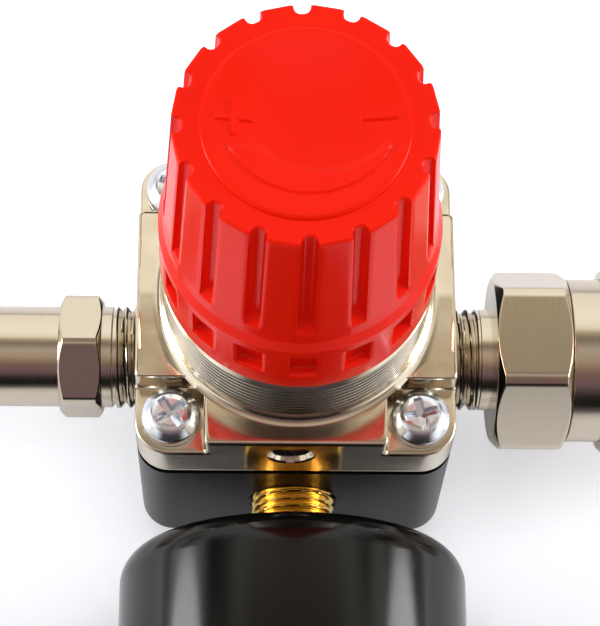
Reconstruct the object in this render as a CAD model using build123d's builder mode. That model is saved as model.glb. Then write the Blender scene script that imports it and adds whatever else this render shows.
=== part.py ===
from build123d import *
import os
from math import asin, atan2, cos, degrees, pi, radians, sin, sqrt, tan

# Air pressure regulator for a small compressor: a pull-and-turn knob loads a
# spring, the spring pushes a diaphragm down on a poppet valve, a gauge reads
# the outlet side, a nipple feeds the left port and a quick coupler closes the
# right port.
# Frame, in millimetres: origin at the centre of the body's flat underside,
# +X towards the quick coupler, -Y towards the gauge, +Z up to the knob.

os.makedirs("parts", exist_ok=True)

# Clearances
running = 0.05              # radial gap of a shaft in its guide
thread_gap = 0.03           # radial gap of a screwed joint, drawn without its thread
seat_gap = 0.05             # gap between two faces that touch
press_gap = 0.02            # radial gap of a pressed or moulded joint
free_gap = 0.3              # gap between pieces that move past each other
wire_sides = 6              # sides of a coil's wire and of a sealing ring's section

# Body
body_width = 38.4
half_width = body_width / 2
body_height = 24.0
body_corner_r = 4.0
body_foot_bevel = 0.8
port_z = 12.4
port_thread_r = 6.58
port_depth = 10.0
gauge_port_r = 5.14
gauge_port_depth = 8.0
screw_inset = 4.35            # from the body's side to a screw's axis
screw_clearance = 0.2
screw_r = 2.0
screw_depth = 10.0
cap_bore_r = 8.5
cap_depth = 5.2
valve_chamber_r = 6.0
valve_seat_z = 11.5
orifice_r = 3.2
orifice_top_z = valve_seat_z + 2.1
outlet_chamber_r = 6.5
passage_r = 2.2
inlet_passage_z = port_z - 3.8
outlet_passage_z = port_z + 3.9
gauge_passage_r = 1.1
gauge_passage_z = port_z + 3.0

# Diaphragm and the plates that grip it
diaphragm_r = 16.2
diaphragm_thick = 1.5
diaphragm_crown = 1.2
plate_r = 8.5
plate_thick = 1.6
plate_rim_r = 5.6
plate_room = 1.5            # room round and under the plates in the body
plate_sink = 2.0
relief_hub_r = 2.5
relief_bore_r = 0.8
relief_sink = 0.15
relief_flange_inset = 1.5
valve_stroke = 0.8

# Bonnet, each height taken from the one it stands on
flange_top_z = body_height + 6.3
pad_top_z = flange_top_z + 3.55
pad_ridge = 0.25
lip_bevel = 0.5
arm_half_width = 10.8
collar_r = 15.95
collar_top_z = pad_top_z + 9.65
shoulder_r = collar_r + 0.45
shoulder_rise = 0.75
neck_r = 12.2
neck_top_z = collar_top_z + 18.5
chamber_r = 10.5
chamber_top_z = neck_top_z - 4.0
plate_room_r = 14.5
plate_room_z = flange_top_z - 2.1
guide_rib_reach = 1.3
guide_rib_width = 3.0
lock_tooth_count = 16
lock_tooth_r = neck_r + 1.1
lock_tooth_height = 3.0
detent_z = neck_top_z - 9.0
vent_z = flange_top_z - 0.4
vent_r = 2.8
vent_depth = 0.9
vent_hole_r = 0.7

# Bonnet screws
screw_head_r = 3.5
screw_head_height = 2.6
screw_length = 15.5

# Adjusting screw, its nut and its spring
spindle_r = 4.0
spindle_thread_r = spindle_r - 0.5
spindle_run_out = 3.0
spindle_hex_flats = 6.9
knob_grip_length = 6.1
thrust_flange_r = 6.5
thrust_flange_thick = 1.5
washer_thick = 0.9
circlip_thick = 0.8
nut_disc_r = chamber_r - 0.4
nut_disc_thick = 2.5
nut_top_z = chamber_top_z - 4.5
nut_hub_r = 5.8
nut_hub_depth = 4.5
nut_travel = 7.5
spring_wire_r = 1.1
spring_mean_r = 7.1
spring_turns = 5.5

# Knob
knob_foot_z = collar_top_z + 0.9
knob_top_z = neck_top_z + 17.4
knob_foot_r = 16.1
knob_ledge_z = knob_foot_z + 11.2
knob_ledge_r = knob_foot_r - 0.65
knob_crown_r = knob_ledge_r - 1.45
knob_edge_r = 1.0
knob_dish_r = knob_crown_r - 2.84
knob_dish_rise = 0.55
knob_dish_drop = 0.9
knob_lift = 2.5
flute_count = 16
flute_phase = -88.35
flute_r = 1.0
flute_depth = 1.1
flute_foot_z = knob_ledge_z + 3.0
pocket_width = 3.15
pocket_low_z = knob_foot_z + 2.8
pocket_high_z = knob_ledge_z - 2.2
pocket_depth = 1.0
knob_skirt_bore_r = lock_tooth_r + 0.6
knob_neck_bore_r = neck_r + 0.4
knob_head_bore_r = 11.3
knob_roof = 2.0
knob_head_room = 1.4
knob_hub_r = 6.2
knob_rib_thick = 1.2
knob_rib_count = 8

# Valve below the diaphragm
poppet_disc_r = 4.6
poppet_disc_thick = 1.7
valve_rubber_thick = 0.55
valve_rubber_inset = 0.2
valve_stem_r = 1.4
guide_stem_r = 2.4
guide_stem_foot_z = 3.6
valve_spring_wire_r = 0.35
valve_spring_mean_r = 4.0
valve_spring_turns = 3.5
cap_inset = 0.3
cap_boss_r = 3.4
cap_boss_rise = 1.2
cap_hex_flats = 8.0
cap_hex_depth = 1.1
cap_ring_r = 0.6
cap_ring_z = 4.2
stem_ring_r = 0.45
stem_ring_z = 3.9

# Rear plug
plug_length = 7.4
plug_hex_flats = 5.0
plug_hex_depth = 4.0

# Inlet nipple
nipple_ring_x = half_width + 3.2
nipple_hex_x = nipple_ring_x + 1.8
nipple_hex_length = 5.4
nipple_hex_flats = 14.3
nipple_hex_turn = 36.0
nipple_tube_r = 6.4
nipple_end_thread_x = nipple_hex_x + 17.3
nipple_end_x = nipple_end_thread_x + 11.0
nipple_bore_r = 4.2
hex_chamfer_angle = 30.0

# Quick coupler
coupler_ring_x = half_width + 4.5
coupler_hex_x = coupler_ring_x + 1.7
coupler_hex_length = 9.5
coupler_hex_flats = 21.0
coupler_hex_turn = 3.4
coupler_neck_r = 10.45
coupler_neck_end_x = coupler_hex_x + 18.6
coupler_tube_r = 8.6
coupler_end_x = coupler_neck_end_x + 18.5
coupler_feed_r = 4.5
spigot_length = 6.2
spigot_r = 7.55
spring_pocket_r = 5.6
spring_pocket_x = coupler_hex_x + 5.8
coupler_chamber_r = 6.4
coupler_seat_x = coupler_neck_end_x + 3.0
coupler_seat_r = 4.4
coupler_seat_thick = 2.0
socket_r = 6.1
packing_x = coupler_seat_x + coupler_seat_thick + 1.3
packing_length = 2.0
packing_groove_r = socket_r + 1.3
packing_bore_r = socket_r - 0.2
coupler_head_r = 5.2
coupler_head_thick = 1.8
coupler_seal_thick = 0.6
coupler_nose_r = coupler_seat_r - 0.5
coupler_nose_bore_r = 2.6
coupler_nose_length = 3.9
coupler_valve_wire_r = 0.4
coupler_valve_spring_r = 4.6
coupler_valve_spring_turns = 5

# Coupler sleeve and its balls
sleeve_r = 12.5
sleeve_end_x = coupler_end_x - 1.0
sleeve_travel = 3.8
sleeve_land_x = coupler_neck_end_x + 8.0
sleeve_land_end_x = sleeve_land_x + 6.2
sleeve_land_ramp = 1.7
sleeve_recess_gap = 0.25
sleeve_wire_r = 0.55
sleeve_spring_turns = 3
ball_count = 4
ball_r = 1.6
ball_x = sleeve_land_end_x - 1.9
ball_gap = 0.12
ball_travel = 0.8
ball_relief_depth = 0.2      # shallow groove where the ball holes break into the bore
ball_relief_half = 1.8
retaining_ring_r = 9.95
retaining_ring_thick = 0.8

# Gauge
gauge_r = 21.34
gauge_back_y = half_width + 7.0
gauge_depth = 24.0
gauge_wall = 1.7
gauge_back_wall = 2.0
gauge_back_round = 4.4
gauge_front_bevel = 0.9
gauge_room_r = gauge_r - 2.2
gauge_back_room_r = gauge_r - 4.24
lens_thick = 1.6
lens_r = gauge_r - 1.64
stem_flats = 12.0
stem_flats_length = 3.4
stem_neck_r = 4.6
stem_bore_r = 1.2
block_width = 8.0
block_front_y = gauge_back_y + 10.8
block_head = 4.5
case_screw_r = 0.8
case_screw_drop = 9.5
case_screw_spacing = 4.4

# Bent tube of the gauge and its movement
tube_bend_r = 14.2
tube_section_width = 5.6
tube_section_thick = 1.6
tube_sweep = 248.0
tube_y = gauge_back_y + 7.2
tip_length = 2.6
tip_gap = 0.1
tip_pin_r = 0.6
movement_plate_thick = 0.8
movement_room = 3.8
plate_half_width = 3.5
pillar_r = 0.7
gear_module = 0.25
pinion_teeth = 10
sector_teeth = 70
sector_first_tooth = -8
sector_last_tooth = 1
sector_bearing = 135.0
tooth_rise = 0.24
tooth_depth = 0.31
tooth_half_width = 0.15
gear_start_y = block_front_y + 2.2
gear_thick = 0.9
arbor_r = 0.55
sector_hub_r = 1.6
tail_length = 4.2
tail_angle = -35.0
link_pin_r = 0.45
link_width = 1.7
link_thick = 0.5
dial_gap = 1.2
dial_thick = 0.5
dial_r = gauge_room_r - 0.24
dial_bore_r = 1.2
dial_screw_head_r = 1.3
stop_pin_r = 0.35
stop_pin_reach = 10.0
pointer_rest = 225.0
pointer_gap = 1.4
pointer_thick = 0.4
pointer_reach = 13.5
pointer_tail = 5.0
pointer_hub_r = 1.7

screw_offset = half_width - screw_inset
port_axis = Axis((0, 0, port_z), (1, 0, 0))
gauge_axis = Axis((0, 0, port_z), (0, -1, 0))
screw_places = [(x, y) for x in (-screw_offset, screw_offset) for y in (-screw_offset, screw_offset)]
flute_angles = [flute_phase + 360 / flute_count * k for k in range(flute_count)]


def section_along_x(steps, mode=Mode.ADD):
    """Half section of a piece turned about the port axis; a step is start x, end x, radius."""
    for start, end, radius in steps:
        with Locations(((start + end) / 2, port_z + radius / 2)):
            Rectangle(abs(end - start), radius, mode=mode)


def section_along_z(steps, mode=Mode.ADD):
    """Half section of a piece turned about the knob axis; a step is low z, high z, radius."""
    for low, high, radius in steps:
        with Locations((radius / 2, (low + high) / 2)):
            Rectangle(radius, high - low, mode=mode)


def section_along_y(steps, mode=Mode.ADD):
    """Half section of a piece turned about the gauge axis; a step is back, front, radius."""
    for back, front, radius in steps:
        with Locations((-(back + front) / 2, port_z + radius / 2)):
            Rectangle(front - back, radius, mode=mode)


def chamfered_hex_along_x(start, length, flats, turn):
    """Hexagon bar about the port axis, both ends turned off at the usual chamfer angle."""
    corner = flats / sqrt(3)
    fall = (corner - flats / 2) * tan(radians(hex_chamfer_angle))
    with BuildSketch(Plane.YZ.offset(start)) as hex_face:
        with Locations((0, port_z)):
            RegularPolygon(flats / 2, 6, major_radius=False, rotation=turn)
    extrude(hex_face.sketch, amount=length)
    with BuildSketch(Plane.XZ) as turned_face:
        with BuildLine():
            Polyline(
                (start, port_z), (start, port_z + flats / 2), (start + fall, port_z + corner),
                (start + length - fall, port_z + corner), (start + length, port_z + flats / 2),
                (start + length, port_z), close=True,
            )
        make_face()
    revolve(turned_face.sketch, axis=port_axis, mode=Mode.INTERSECT)


def coil(low, high, turns, mean_r, wire_r, along_x=False):
    """Open coil spring from low to high, the wire's own thickness kept inside both."""
    height = high - low - 2 * wire_r
    if along_x:
        path_end = dict(center=(low + wire_r, 0, port_z), direction=(1, 0, 0))
    else:
        path_end = dict(center=(0, 0, low + wire_r), direction=(0, 0, 1))
    with BuildLine() as wire_path:
        Helix(pitch=height / turns, height=height, radius=mean_r, **path_end)
    with BuildSketch(Plane(origin=wire_path.line @ 0, z_dir=wire_path.line % 0)) as wire_section:
        RegularPolygon(wire_r, wire_sides)
    sweep(wire_section.sketch, path=wire_path.line, is_frenet=True)


def write(piece, name):
    piece.part.label = name
    export_step(piece.part, f"parts/{name}.step")


# Body housing: square casting with four ports, the valve chamber and the seat
with BuildPart() as body_housing:
    with BuildSketch(Plane.XY):
        RectangleRounded(body_width, body_width, body_corner_r)
    extrude(amount=body_height)
    chamfer(body_housing.faces().sort_by(Axis.Z)[0].edges(), body_foot_bevel)
    with BuildSketch(Plane.XZ):
        section_along_z([
            (-1, cap_depth + seat_gap, cap_bore_r),
            (cap_depth, valve_seat_z, valve_chamber_r),
            (valve_seat_z - 1, orifice_top_z, orifice_r),
            (orifice_top_z, body_height + 1, outlet_chamber_r),
            (body_height - diaphragm_thick - plate_sink, body_height + 1, plate_r + plate_room),
            (body_height - diaphragm_thick, body_height + 1, diaphragm_r + seat_gap),
        ])
    revolve(axis=Axis.Z, mode=Mode.SUBTRACT)
    with BuildSketch(Plane.XZ):
        section_along_x([
            (half_width - port_depth, half_width + 1, port_thread_r),
            (-half_width - 1, port_depth - half_width, port_thread_r),
        ])
    revolve(axis=port_axis, mode=Mode.SUBTRACT)
    with BuildSketch(Plane.YZ):
        section_along_y([
            (half_width - gauge_port_depth, half_width + 1, gauge_port_r),
            (-half_width - 1, gauge_port_depth - half_width, gauge_port_r),
        ])
    revolve(axis=gauge_axis, mode=Mode.SUBTRACT)
    with BuildSketch(Plane.YZ.offset(-half_width + port_depth - 1)):
        with Locations((0, inlet_passage_z)):
            Circle(passage_r)
    extrude(amount=half_width - port_depth + 1 - valve_chamber_r / 2, mode=Mode.SUBTRACT)
    with BuildSketch(Plane.YZ.offset(outlet_chamber_r / 2)):
        with Locations((0, outlet_passage_z)):
            Circle(passage_r)
    extrude(amount=half_width - port_depth + 1 - outlet_chamber_r / 2, mode=Mode.SUBTRACT)
    with BuildSketch(Plane.XZ.offset(-half_width + gauge_port_depth - 1)):
        with Locations((0, gauge_passage_z)):
            Circle(gauge_passage_r)
    extrude(amount=2 * (half_width - gauge_port_depth + 1), mode=Mode.SUBTRACT)
    with BuildSketch(Plane.XY.offset(body_height)):
        with Locations(*screw_places):
            Circle(screw_r + thread_gap)
    extrude(amount=-screw_depth, mode=Mode.SUBTRACT)
write(body_housing, "body_housing")

# Bottom cap: closes the valve chamber and guides the poppet's stem
cap_top_z = cap_depth
with BuildPart() as bottom_cap:
    with BuildSketch(Plane.XZ):
        section_along_z([
            (cap_inset, cap_top_z, cap_bore_r - thread_gap),
            (cap_top_z, cap_top_z + cap_boss_rise, cap_boss_r),
        ])
    revolve(axis=Axis.Z)
    with BuildSketch(Plane.XZ):
        section_along_z([(guide_stem_foot_z - valve_stroke - free_gap, cap_top_z + cap_boss_rise + 1,
                          guide_stem_r + running)])
        with Locations((guide_stem_r + stem_ring_r, stem_ring_z)):
            Rectangle(2 * stem_ring_r, 2 * stem_ring_r + seat_gap)
        with Locations((cap_bore_r - cap_ring_r, cap_ring_z)):
            Rectangle(2 * cap_ring_r, 2 * cap_ring_r + seat_gap)
    revolve(axis=Axis.Z, mode=Mode.SUBTRACT)
    with BuildSketch(Plane.XY.offset(cap_inset)):
        RegularPolygon(cap_hex_flats / 2, 6, major_radius=False)
    extrude(amount=cap_hex_depth, mode=Mode.SUBTRACT)
write(bottom_cap, "bottom_cap")

with BuildPart() as cap_o_ring:
    with BuildSketch(Plane.XZ):
        with Locations((cap_bore_r - cap_ring_r, cap_ring_z)):
            RegularPolygon(cap_ring_r - thread_gap, wire_sides)
    revolve(axis=Axis.Z)
write(cap_o_ring, "cap_o_ring")

with BuildPart() as stem_seal:
    with BuildSketch(Plane.XZ):
        with Locations((guide_stem_r + stem_ring_r, stem_ring_z)):
            RegularPolygon(stem_ring_r - thread_gap, wire_sides)
    revolve(axis=Axis.Z)
write(stem_seal, "stem_seal")

# Poppet valve with its rubber disc: closed at rest against the seat above it
poppet_disc_top_z = valve_seat_z - seat_gap - valve_rubber_thick
poppet_disc_low_z = poppet_disc_top_z - poppet_disc_thick
relief_seat_z = body_height - diaphragm_thick - relief_sink
with BuildPart() as poppet_valve:
    with BuildSketch(Plane.XZ):
        section_along_z([
            (guide_stem_foot_z, poppet_disc_low_z, guide_stem_r),
            (poppet_disc_low_z, poppet_disc_top_z, poppet_disc_r),
            (poppet_disc_top_z, relief_seat_z - seat_gap, valve_stem_r),
        ])
    revolve(axis=Axis.Z)
    chamfer(poppet_valve.faces().sort_by(Axis.Z)[0].edges(), 0.5)
    chamfer(poppet_valve.faces().sort_by(Axis.Z)[-1].edges(), 0.5)
write(poppet_valve, "poppet_valve")

with BuildPart() as valve_disc:
    with BuildSketch(Plane.XZ):
        section_along_z([(poppet_disc_top_z, valve_seat_z - seat_gap, poppet_disc_r - valve_rubber_inset)])
        section_along_z([(poppet_disc_top_z, valve_seat_z, valve_stem_r + press_gap)], mode=Mode.SUBTRACT)
    revolve(axis=Axis.Z)
write(valve_disc, "valve_disc")

with BuildPart() as valve_spring:
    coil(cap_top_z + seat_gap, poppet_disc_low_z - seat_gap, valve_spring_turns,
         valve_spring_mean_r, valve_spring_wire_r)
write(valve_spring, "valve_spring")

# Diaphragm: flat clamped rim, one rolled fold and a raised centre
diaphragm_low_z = body_height - diaphragm_thick
diaphragm_top_z = body_height + diaphragm_crown
with BuildPart() as diaphragm:
    with BuildSketch(Plane.XZ):
        with BuildLine():
            Polyline(
                (relief_hub_r + press_gap, diaphragm_low_z + 0.6), (plate_r + 0.4, diaphragm_low_z + 0.6),
                (plate_r + 2.2, diaphragm_low_z), (diaphragm_r, diaphragm_low_z),
                (diaphragm_r, body_height), (plate_r + 3.4, body_height),
                (plate_r + 1.6, diaphragm_top_z), (relief_hub_r + press_gap, diaphragm_top_z), close=True,
            )
        make_face()
    revolve(axis=Axis.Z)
write(diaphragm, "diaphragm")

with BuildPart() as relief_seat:
    with BuildSketch(Plane.XZ):
        section_along_z([
            (relief_seat_z, diaphragm_low_z + 0.55, plate_r - relief_flange_inset),
            (relief_seat_z, diaphragm_top_z + plate_thick + 1.0, relief_hub_r),
        ])
        section_along_z([(relief_seat_z - 1, diaphragm_top_z + plate_thick + 2, relief_bore_r)],
                        mode=Mode.SUBTRACT)
    revolve(axis=Axis.Z)
write(relief_seat, "relief_seat")

plate_low_z = diaphragm_top_z + seat_gap
spring_foot_z = plate_low_z + plate_thick
with BuildPart() as diaphragm_plate:
    with BuildSketch(Plane.XZ):
        section_along_z([
            (plate_low_z, spring_foot_z, plate_r),
            (spring_foot_z, spring_foot_z + 1.0, plate_rim_r),
        ])
        section_along_z([(plate_low_z - 1, spring_foot_z + 2, relief_hub_r + press_gap)],
                        mode=Mode.SUBTRACT)
    revolve(axis=Axis.Z)
write(diaphragm_plate, "diaphragm_plate")

# Bonnet: die casting that clamps the diaphragm and houses the spring
with BuildPart() as bonnet:
    with BuildSketch(Plane.XY.offset(body_height)):
        RectangleRounded(body_width, body_width, body_corner_r)
    extrude(amount=flange_top_z - body_height)
    with BuildSketch(Plane.YZ.offset(-half_width)):
        with BuildLine():
            Polyline(
                (-arm_half_width, flange_top_z - 1), (arm_half_width, flange_top_z - 1),
                (arm_half_width, pad_top_z - pad_ridge), (0, pad_top_z),
                (-arm_half_width, pad_top_z - pad_ridge), close=True,
            )
        make_face()
    extrude(amount=body_width)
    with BuildSketch(Plane.YZ.offset(-arm_half_width)):
        with BuildLine():
            Polyline(
                (-half_width, flange_top_z - 1), (half_width, flange_top_z - 1),
                (half_width, pad_top_z - lip_bevel), (half_width - lip_bevel, pad_top_z),
                (lip_bevel - half_width, pad_top_z), (-half_width, pad_top_z - lip_bevel), close=True,
            )
        make_face()
    extrude(amount=2 * arm_half_width)
    with BuildSketch(Plane.XZ):
        with BuildLine():
            Polyline(
                (0, flange_top_z - 1), (shoulder_r, flange_top_z - 1), (shoulder_r, pad_top_z - 0.1),
                (collar_r, pad_top_z + shoulder_rise),
                (collar_r, collar_top_z - 0.5), (collar_r - 0.5, collar_top_z),
                (neck_r, collar_top_z), (neck_r, detent_z - 0.6), (neck_r - 0.4, detent_z - 0.2),
                (neck_r - 0.4, detent_z + 0.2), (neck_r, detent_z + 0.6),
                (neck_r, neck_top_z - 1), (neck_r - 1, neck_top_z), (0, neck_top_z), close=True,
            )
        make_face()
    revolve(axis=Axis.Z)
    with BuildSketch(Plane.XY.offset(collar_top_z - 1)):
        with PolarLocations(neck_r - 0.5, lock_tooth_count):
            Trapezoid(2.6, 2 * (lock_tooth_r - neck_r) + 1, 80, rotation=-90)
    extrude(amount=1 + lock_tooth_height)
    with BuildSketch(Plane.XZ):
        section_along_z([
            (body_height - 1, plate_room_z, plate_room_r),
            (body_height, chamber_top_z, chamber_r),
            (body_height, neck_top_z + 1, spindle_r + running),
        ])
    revolve(axis=Axis.Z, mode=Mode.SUBTRACT)
    with BuildSketch(Plane.XY.offset(plate_room_z)):
        with PolarLocations(chamber_r, 2, start_angle=90):
            Rectangle(2 * guide_rib_reach, guide_rib_width)
    extrude(amount=chamber_top_z - plate_room_z)
    with BuildSketch(Plane.XY.offset(flange_top_z)):
        with Locations(*screw_places):
            Circle(screw_r + screw_clearance)
    extrude(amount=body_height - flange_top_z, mode=Mode.SUBTRACT)
    with BuildSketch(Plane.XZ.offset(half_width)):
        with Locations((0, vent_z)):
            Circle(vent_r)
    extrude(amount=-vent_depth, mode=Mode.SUBTRACT)
    with BuildSketch(Plane.XZ.offset(half_width)):
        with Locations((0, vent_z)):
            Circle(vent_hole_r)
    extrude(amount=chamber_r - half_width + 1, mode=Mode.SUBTRACT)
write(bonnet, "bonnet")

# Four pan head screws clamp the bonnet to the body
with BuildPart() as bonnet_screws:
    with BuildSketch(Plane.XY.offset(flange_top_z + seat_gap)):
        with Locations(*screw_places):
            Circle(screw_head_r)
    extrude(amount=screw_head_height)
    chamfer(bonnet_screws.faces().filter_by(Plane.XY).group_by(Axis.Z)[-1].edges(), 0.7, 1.2)
    with BuildSketch(Plane.XY.offset(flange_top_z + seat_gap)):
        with Locations(*screw_places):
            Circle(screw_r)
    extrude(amount=-screw_length)
write(bonnet_screws, "bonnet_screws")

# Adjusting screw: hexagon head for the knob, thrust flange, long thread
nut_under_z = nut_top_z - nut_disc_thick
spindle_foot_z = nut_under_z - nut_hub_depth - nut_travel - spindle_run_out
knob_throat_z = neck_top_z + knob_head_room
flange_top = chamber_top_z - washer_thick - 2 * seat_gap
with BuildPart() as adjusting_screw:
    with BuildSketch(Plane.XZ):
        section_along_z([
            (spindle_foot_z, flange_top, spindle_thread_r),
            (flange_top - thrust_flange_thick, flange_top, thrust_flange_r),
            (flange_top, neck_top_z + 0.1, spindle_r),
            (neck_top_z, neck_top_z + circlip_thick + 0.2, spindle_thread_r - 0.3),
        ])
    revolve(axis=Axis.Z)
    chamfer(adjusting_screw.faces().sort_by(Axis.Z)[0].edges(), 0.8)
    with BuildSketch(Plane.XY.offset(neck_top_z + circlip_thick + 0.2)):
        RegularPolygon(spindle_hex_flats / 2, 6, major_radius=False)
    extrude(amount=knob_head_room + knob_grip_length + knob_lift - circlip_thick - 0.2)
    chamfer(adjusting_screw.faces().sort_by(Axis.Z)[-1].edges(), 0.5)
write(adjusting_screw, "adjusting_screw")

with BuildPart() as thrust_washer:
    with BuildSketch(Plane.XZ):
        section_along_z([(flange_top + seat_gap, flange_top + seat_gap + washer_thick, 7.5)])
        section_along_z([(flange_top, chamber_top_z, spindle_r + running)], mode=Mode.SUBTRACT)
    revolve(axis=Axis.Z)
write(thrust_washer, "thrust_washer")

with BuildPart() as spindle_circlip:
    with BuildSketch(Plane.XY.offset(neck_top_z + 0.1)):
        Circle(5.4)
        Circle(spindle_thread_r - 0.25, mode=Mode.SUBTRACT)
        with Locations((5, 0)):
            Rectangle(8, 3.2, mode=Mode.SUBTRACT)
    extrude(amount=circlip_thick)
write(spindle_circlip, "spindle_circlip")

# Spring seat nut: climbs and drops on the thread, kept from turning by two ribs
with BuildPart() as spring_seat_nut:
    with BuildSketch(Plane.XZ):
        section_along_z([
            (nut_under_z, nut_top_z, nut_disc_r),
            (nut_under_z - nut_hub_depth, nut_top_z, nut_hub_r),
        ])
        section_along_z([(nut_under_z - nut_hub_depth - 1, nut_top_z + 1, spindle_thread_r + running)],
                        mode=Mode.SUBTRACT)
    revolve(axis=Axis.Z)
    with BuildSketch(Plane.XY.offset(nut_under_z)):
        with PolarLocations(chamber_r, 2, start_angle=90):
            Rectangle(2 * guide_rib_reach + 2 * free_gap, guide_rib_width + 2 * free_gap)
    extrude(amount=nut_disc_thick, mode=Mode.SUBTRACT)
write(spring_seat_nut, "spring_seat_nut")

with BuildPart() as adjusting_spring:
    coil(spring_foot_z + seat_gap, nut_under_z - seat_gap, spring_turns, spring_mean_r, spring_wire_r)
write(adjusting_spring, "adjusting_spring")

# Knob: fluted moulding with a pocketed skirt; its hub slides on the screw's hexagon
flank_slope = degrees(atan2(knob_ledge_r - knob_crown_r, knob_top_z - knob_ledge_z))
knob_dish_z = knob_top_z + knob_dish_rise
with BuildPart() as control_knob:
    with BuildSketch(Plane.XZ):
        with BuildLine():
            dish = ThreePointArc(
                (0, knob_dish_z - knob_dish_drop),
                (knob_dish_r * 0.5, knob_dish_z - knob_dish_drop * 0.72),
                (knob_dish_r - 0.7, knob_dish_z),
            )
            Polyline(
                dish @ 1, (knob_dish_r, knob_top_z), (knob_crown_r - knob_edge_r, knob_top_z),
                (knob_crown_r, knob_top_z - knob_edge_r), (knob_ledge_r, knob_ledge_z + 0.8),
                (knob_foot_r - 0.15, knob_ledge_z - 0.5), (knob_foot_r, knob_foot_z + 0.4),
                (knob_foot_r - 0.4, knob_foot_z), (0, knob_foot_z), dish @ 0,
            )
        make_face()
    revolve(axis=Axis.Z)
    for angle in flute_angles:
        flute_foot = Vector(knob_ledge_r - flute_depth + flute_r, 0, flute_foot_z)
        up_the_flank = Vector(-sin(radians(flank_slope)), 0, cos(radians(flank_slope)))
        flute_start = Plane(
            origin=flute_foot.rotate(Axis.Z, angle), z_dir=up_the_flank.rotate(Axis.Z, angle)
        )
        with BuildSketch(flute_start):
            Circle(flute_r)
        extrude(amount=knob_top_z - flute_foot_z + 2, mode=Mode.SUBTRACT)
        pocket_middle = Vector(knob_foot_r - pocket_depth, 0, (pocket_low_z + pocket_high_z) / 2)
        pocket_face = Plane(
            origin=pocket_middle.rotate(Axis.Z, angle),
            x_dir=Vector(0, 1, 0).rotate(Axis.Z, angle), z_dir=Vector(1, 0, 0).rotate(Axis.Z, angle),
        )
        with BuildSketch(pocket_face):
            Rectangle(pocket_width, pocket_high_z - pocket_low_z)
        extrude(amount=pocket_depth + 1, mode=Mode.SUBTRACT)
    with BuildSketch(Plane.XZ):
        section_along_z([
            (knob_foot_z - 1, knob_ledge_z - 1, knob_skirt_bore_r),
            (knob_foot_z, knob_throat_z, knob_neck_bore_r),
            (knob_foot_z, knob_top_z - knob_roof, knob_head_bore_r),
        ])
    revolve(axis=Axis.Z, mode=Mode.SUBTRACT)
    with BuildSketch(Plane.XY.offset(knob_throat_z)):
        Circle(knob_hub_r)
        with PolarLocations((knob_hub_r + knob_head_bore_r) / 2, knob_rib_count, start_angle=flute_phase):
            Rectangle(knob_head_bore_r - knob_hub_r + 1, knob_rib_thick)
        RegularPolygon(spindle_hex_flats / 2 + running, 6, major_radius=False, mode=Mode.SUBTRACT)
    extrude(amount=knob_top_z - knob_roof - knob_throat_z + 0.01)
write(control_knob, "control_knob")

# Rear gauge port plug, flush in the housing
plug_mouth_y = half_width - 0.4
with BuildPart() as rear_port_plug:
    with BuildSketch(Plane.YZ):
        section_along_y([(-plug_mouth_y, plug_length - plug_mouth_y, gauge_port_r - thread_gap)])
    revolve(axis=gauge_axis)
    with BuildSketch(Plane.XZ.offset(-plug_mouth_y)):
        with Locations((0, port_z)):
            RegularPolygon(plug_hex_flats / 2, 6, major_radius=False)
    extrude(amount=plug_hex_depth, mode=Mode.SUBTRACT)
write(rear_port_plug, "rear_port_plug")

# Inlet nipple: screwed end, smooth collar, hexagon, tube and outer thread
with BuildPart() as inlet_nipple:
    chamfered_hex_along_x(-nipple_hex_x - nipple_hex_length, nipple_hex_length,
                          nipple_hex_flats, nipple_hex_turn)
    with BuildSketch(Plane.XZ):
        section_along_x([
            (-nipple_ring_x, port_depth - half_width - seat_gap, port_thread_r - thread_gap),
            (-nipple_hex_x - 0.5, -nipple_ring_x, port_thread_r - 0.12),
            (-nipple_end_thread_x, -nipple_hex_x - 1, nipple_tube_r),
            (-nipple_end_x, -nipple_end_thread_x, port_thread_r),
        ])
    revolve(axis=port_axis)
    chamfer(inlet_nipple.faces().sort_by(Axis.X)[0].edges(), 0.8)
    chamfer(inlet_nipple.faces().sort_by(Axis.X)[-1].edges(), 0.8)
    with BuildSketch(Plane.XZ):
        section_along_x([(-nipple_end_x - 1, 0, nipple_bore_r)])
    revolve(axis=port_axis, mode=Mode.SUBTRACT)
write(inlet_nipple, "inlet_nipple")

# Quick coupler, port half: thread, hexagon and a spigot that screws into the body
hex_end_x = coupler_hex_x + coupler_hex_length
spigot_end_x = hex_end_x + spigot_length
with BuildPart() as coupler_adapter:
    chamfered_hex_along_x(coupler_hex_x, coupler_hex_length, coupler_hex_flats, coupler_hex_turn)
    with BuildSketch(Plane.XZ):
        section_along_x([
            (half_width - port_depth + seat_gap, coupler_ring_x, port_thread_r - thread_gap),
            (coupler_ring_x, coupler_hex_x + 1, port_thread_r - 0.1),
            (hex_end_x - 1, spigot_end_x, spigot_r - thread_gap),
        ])
    revolve(axis=port_axis)
    chamfer(coupler_adapter.faces().sort_by(Axis.X)[0].edges(), 0.8)
    with BuildSketch(Plane.XZ):
        section_along_x([
            (0, spring_pocket_x + 1, coupler_feed_r - 0.6),
            (spring_pocket_x, spigot_end_x + 1, spring_pocket_r),
        ])
    revolve(axis=port_axis, mode=Mode.SUBTRACT)
write(coupler_adapter, "coupler_adapter")

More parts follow.
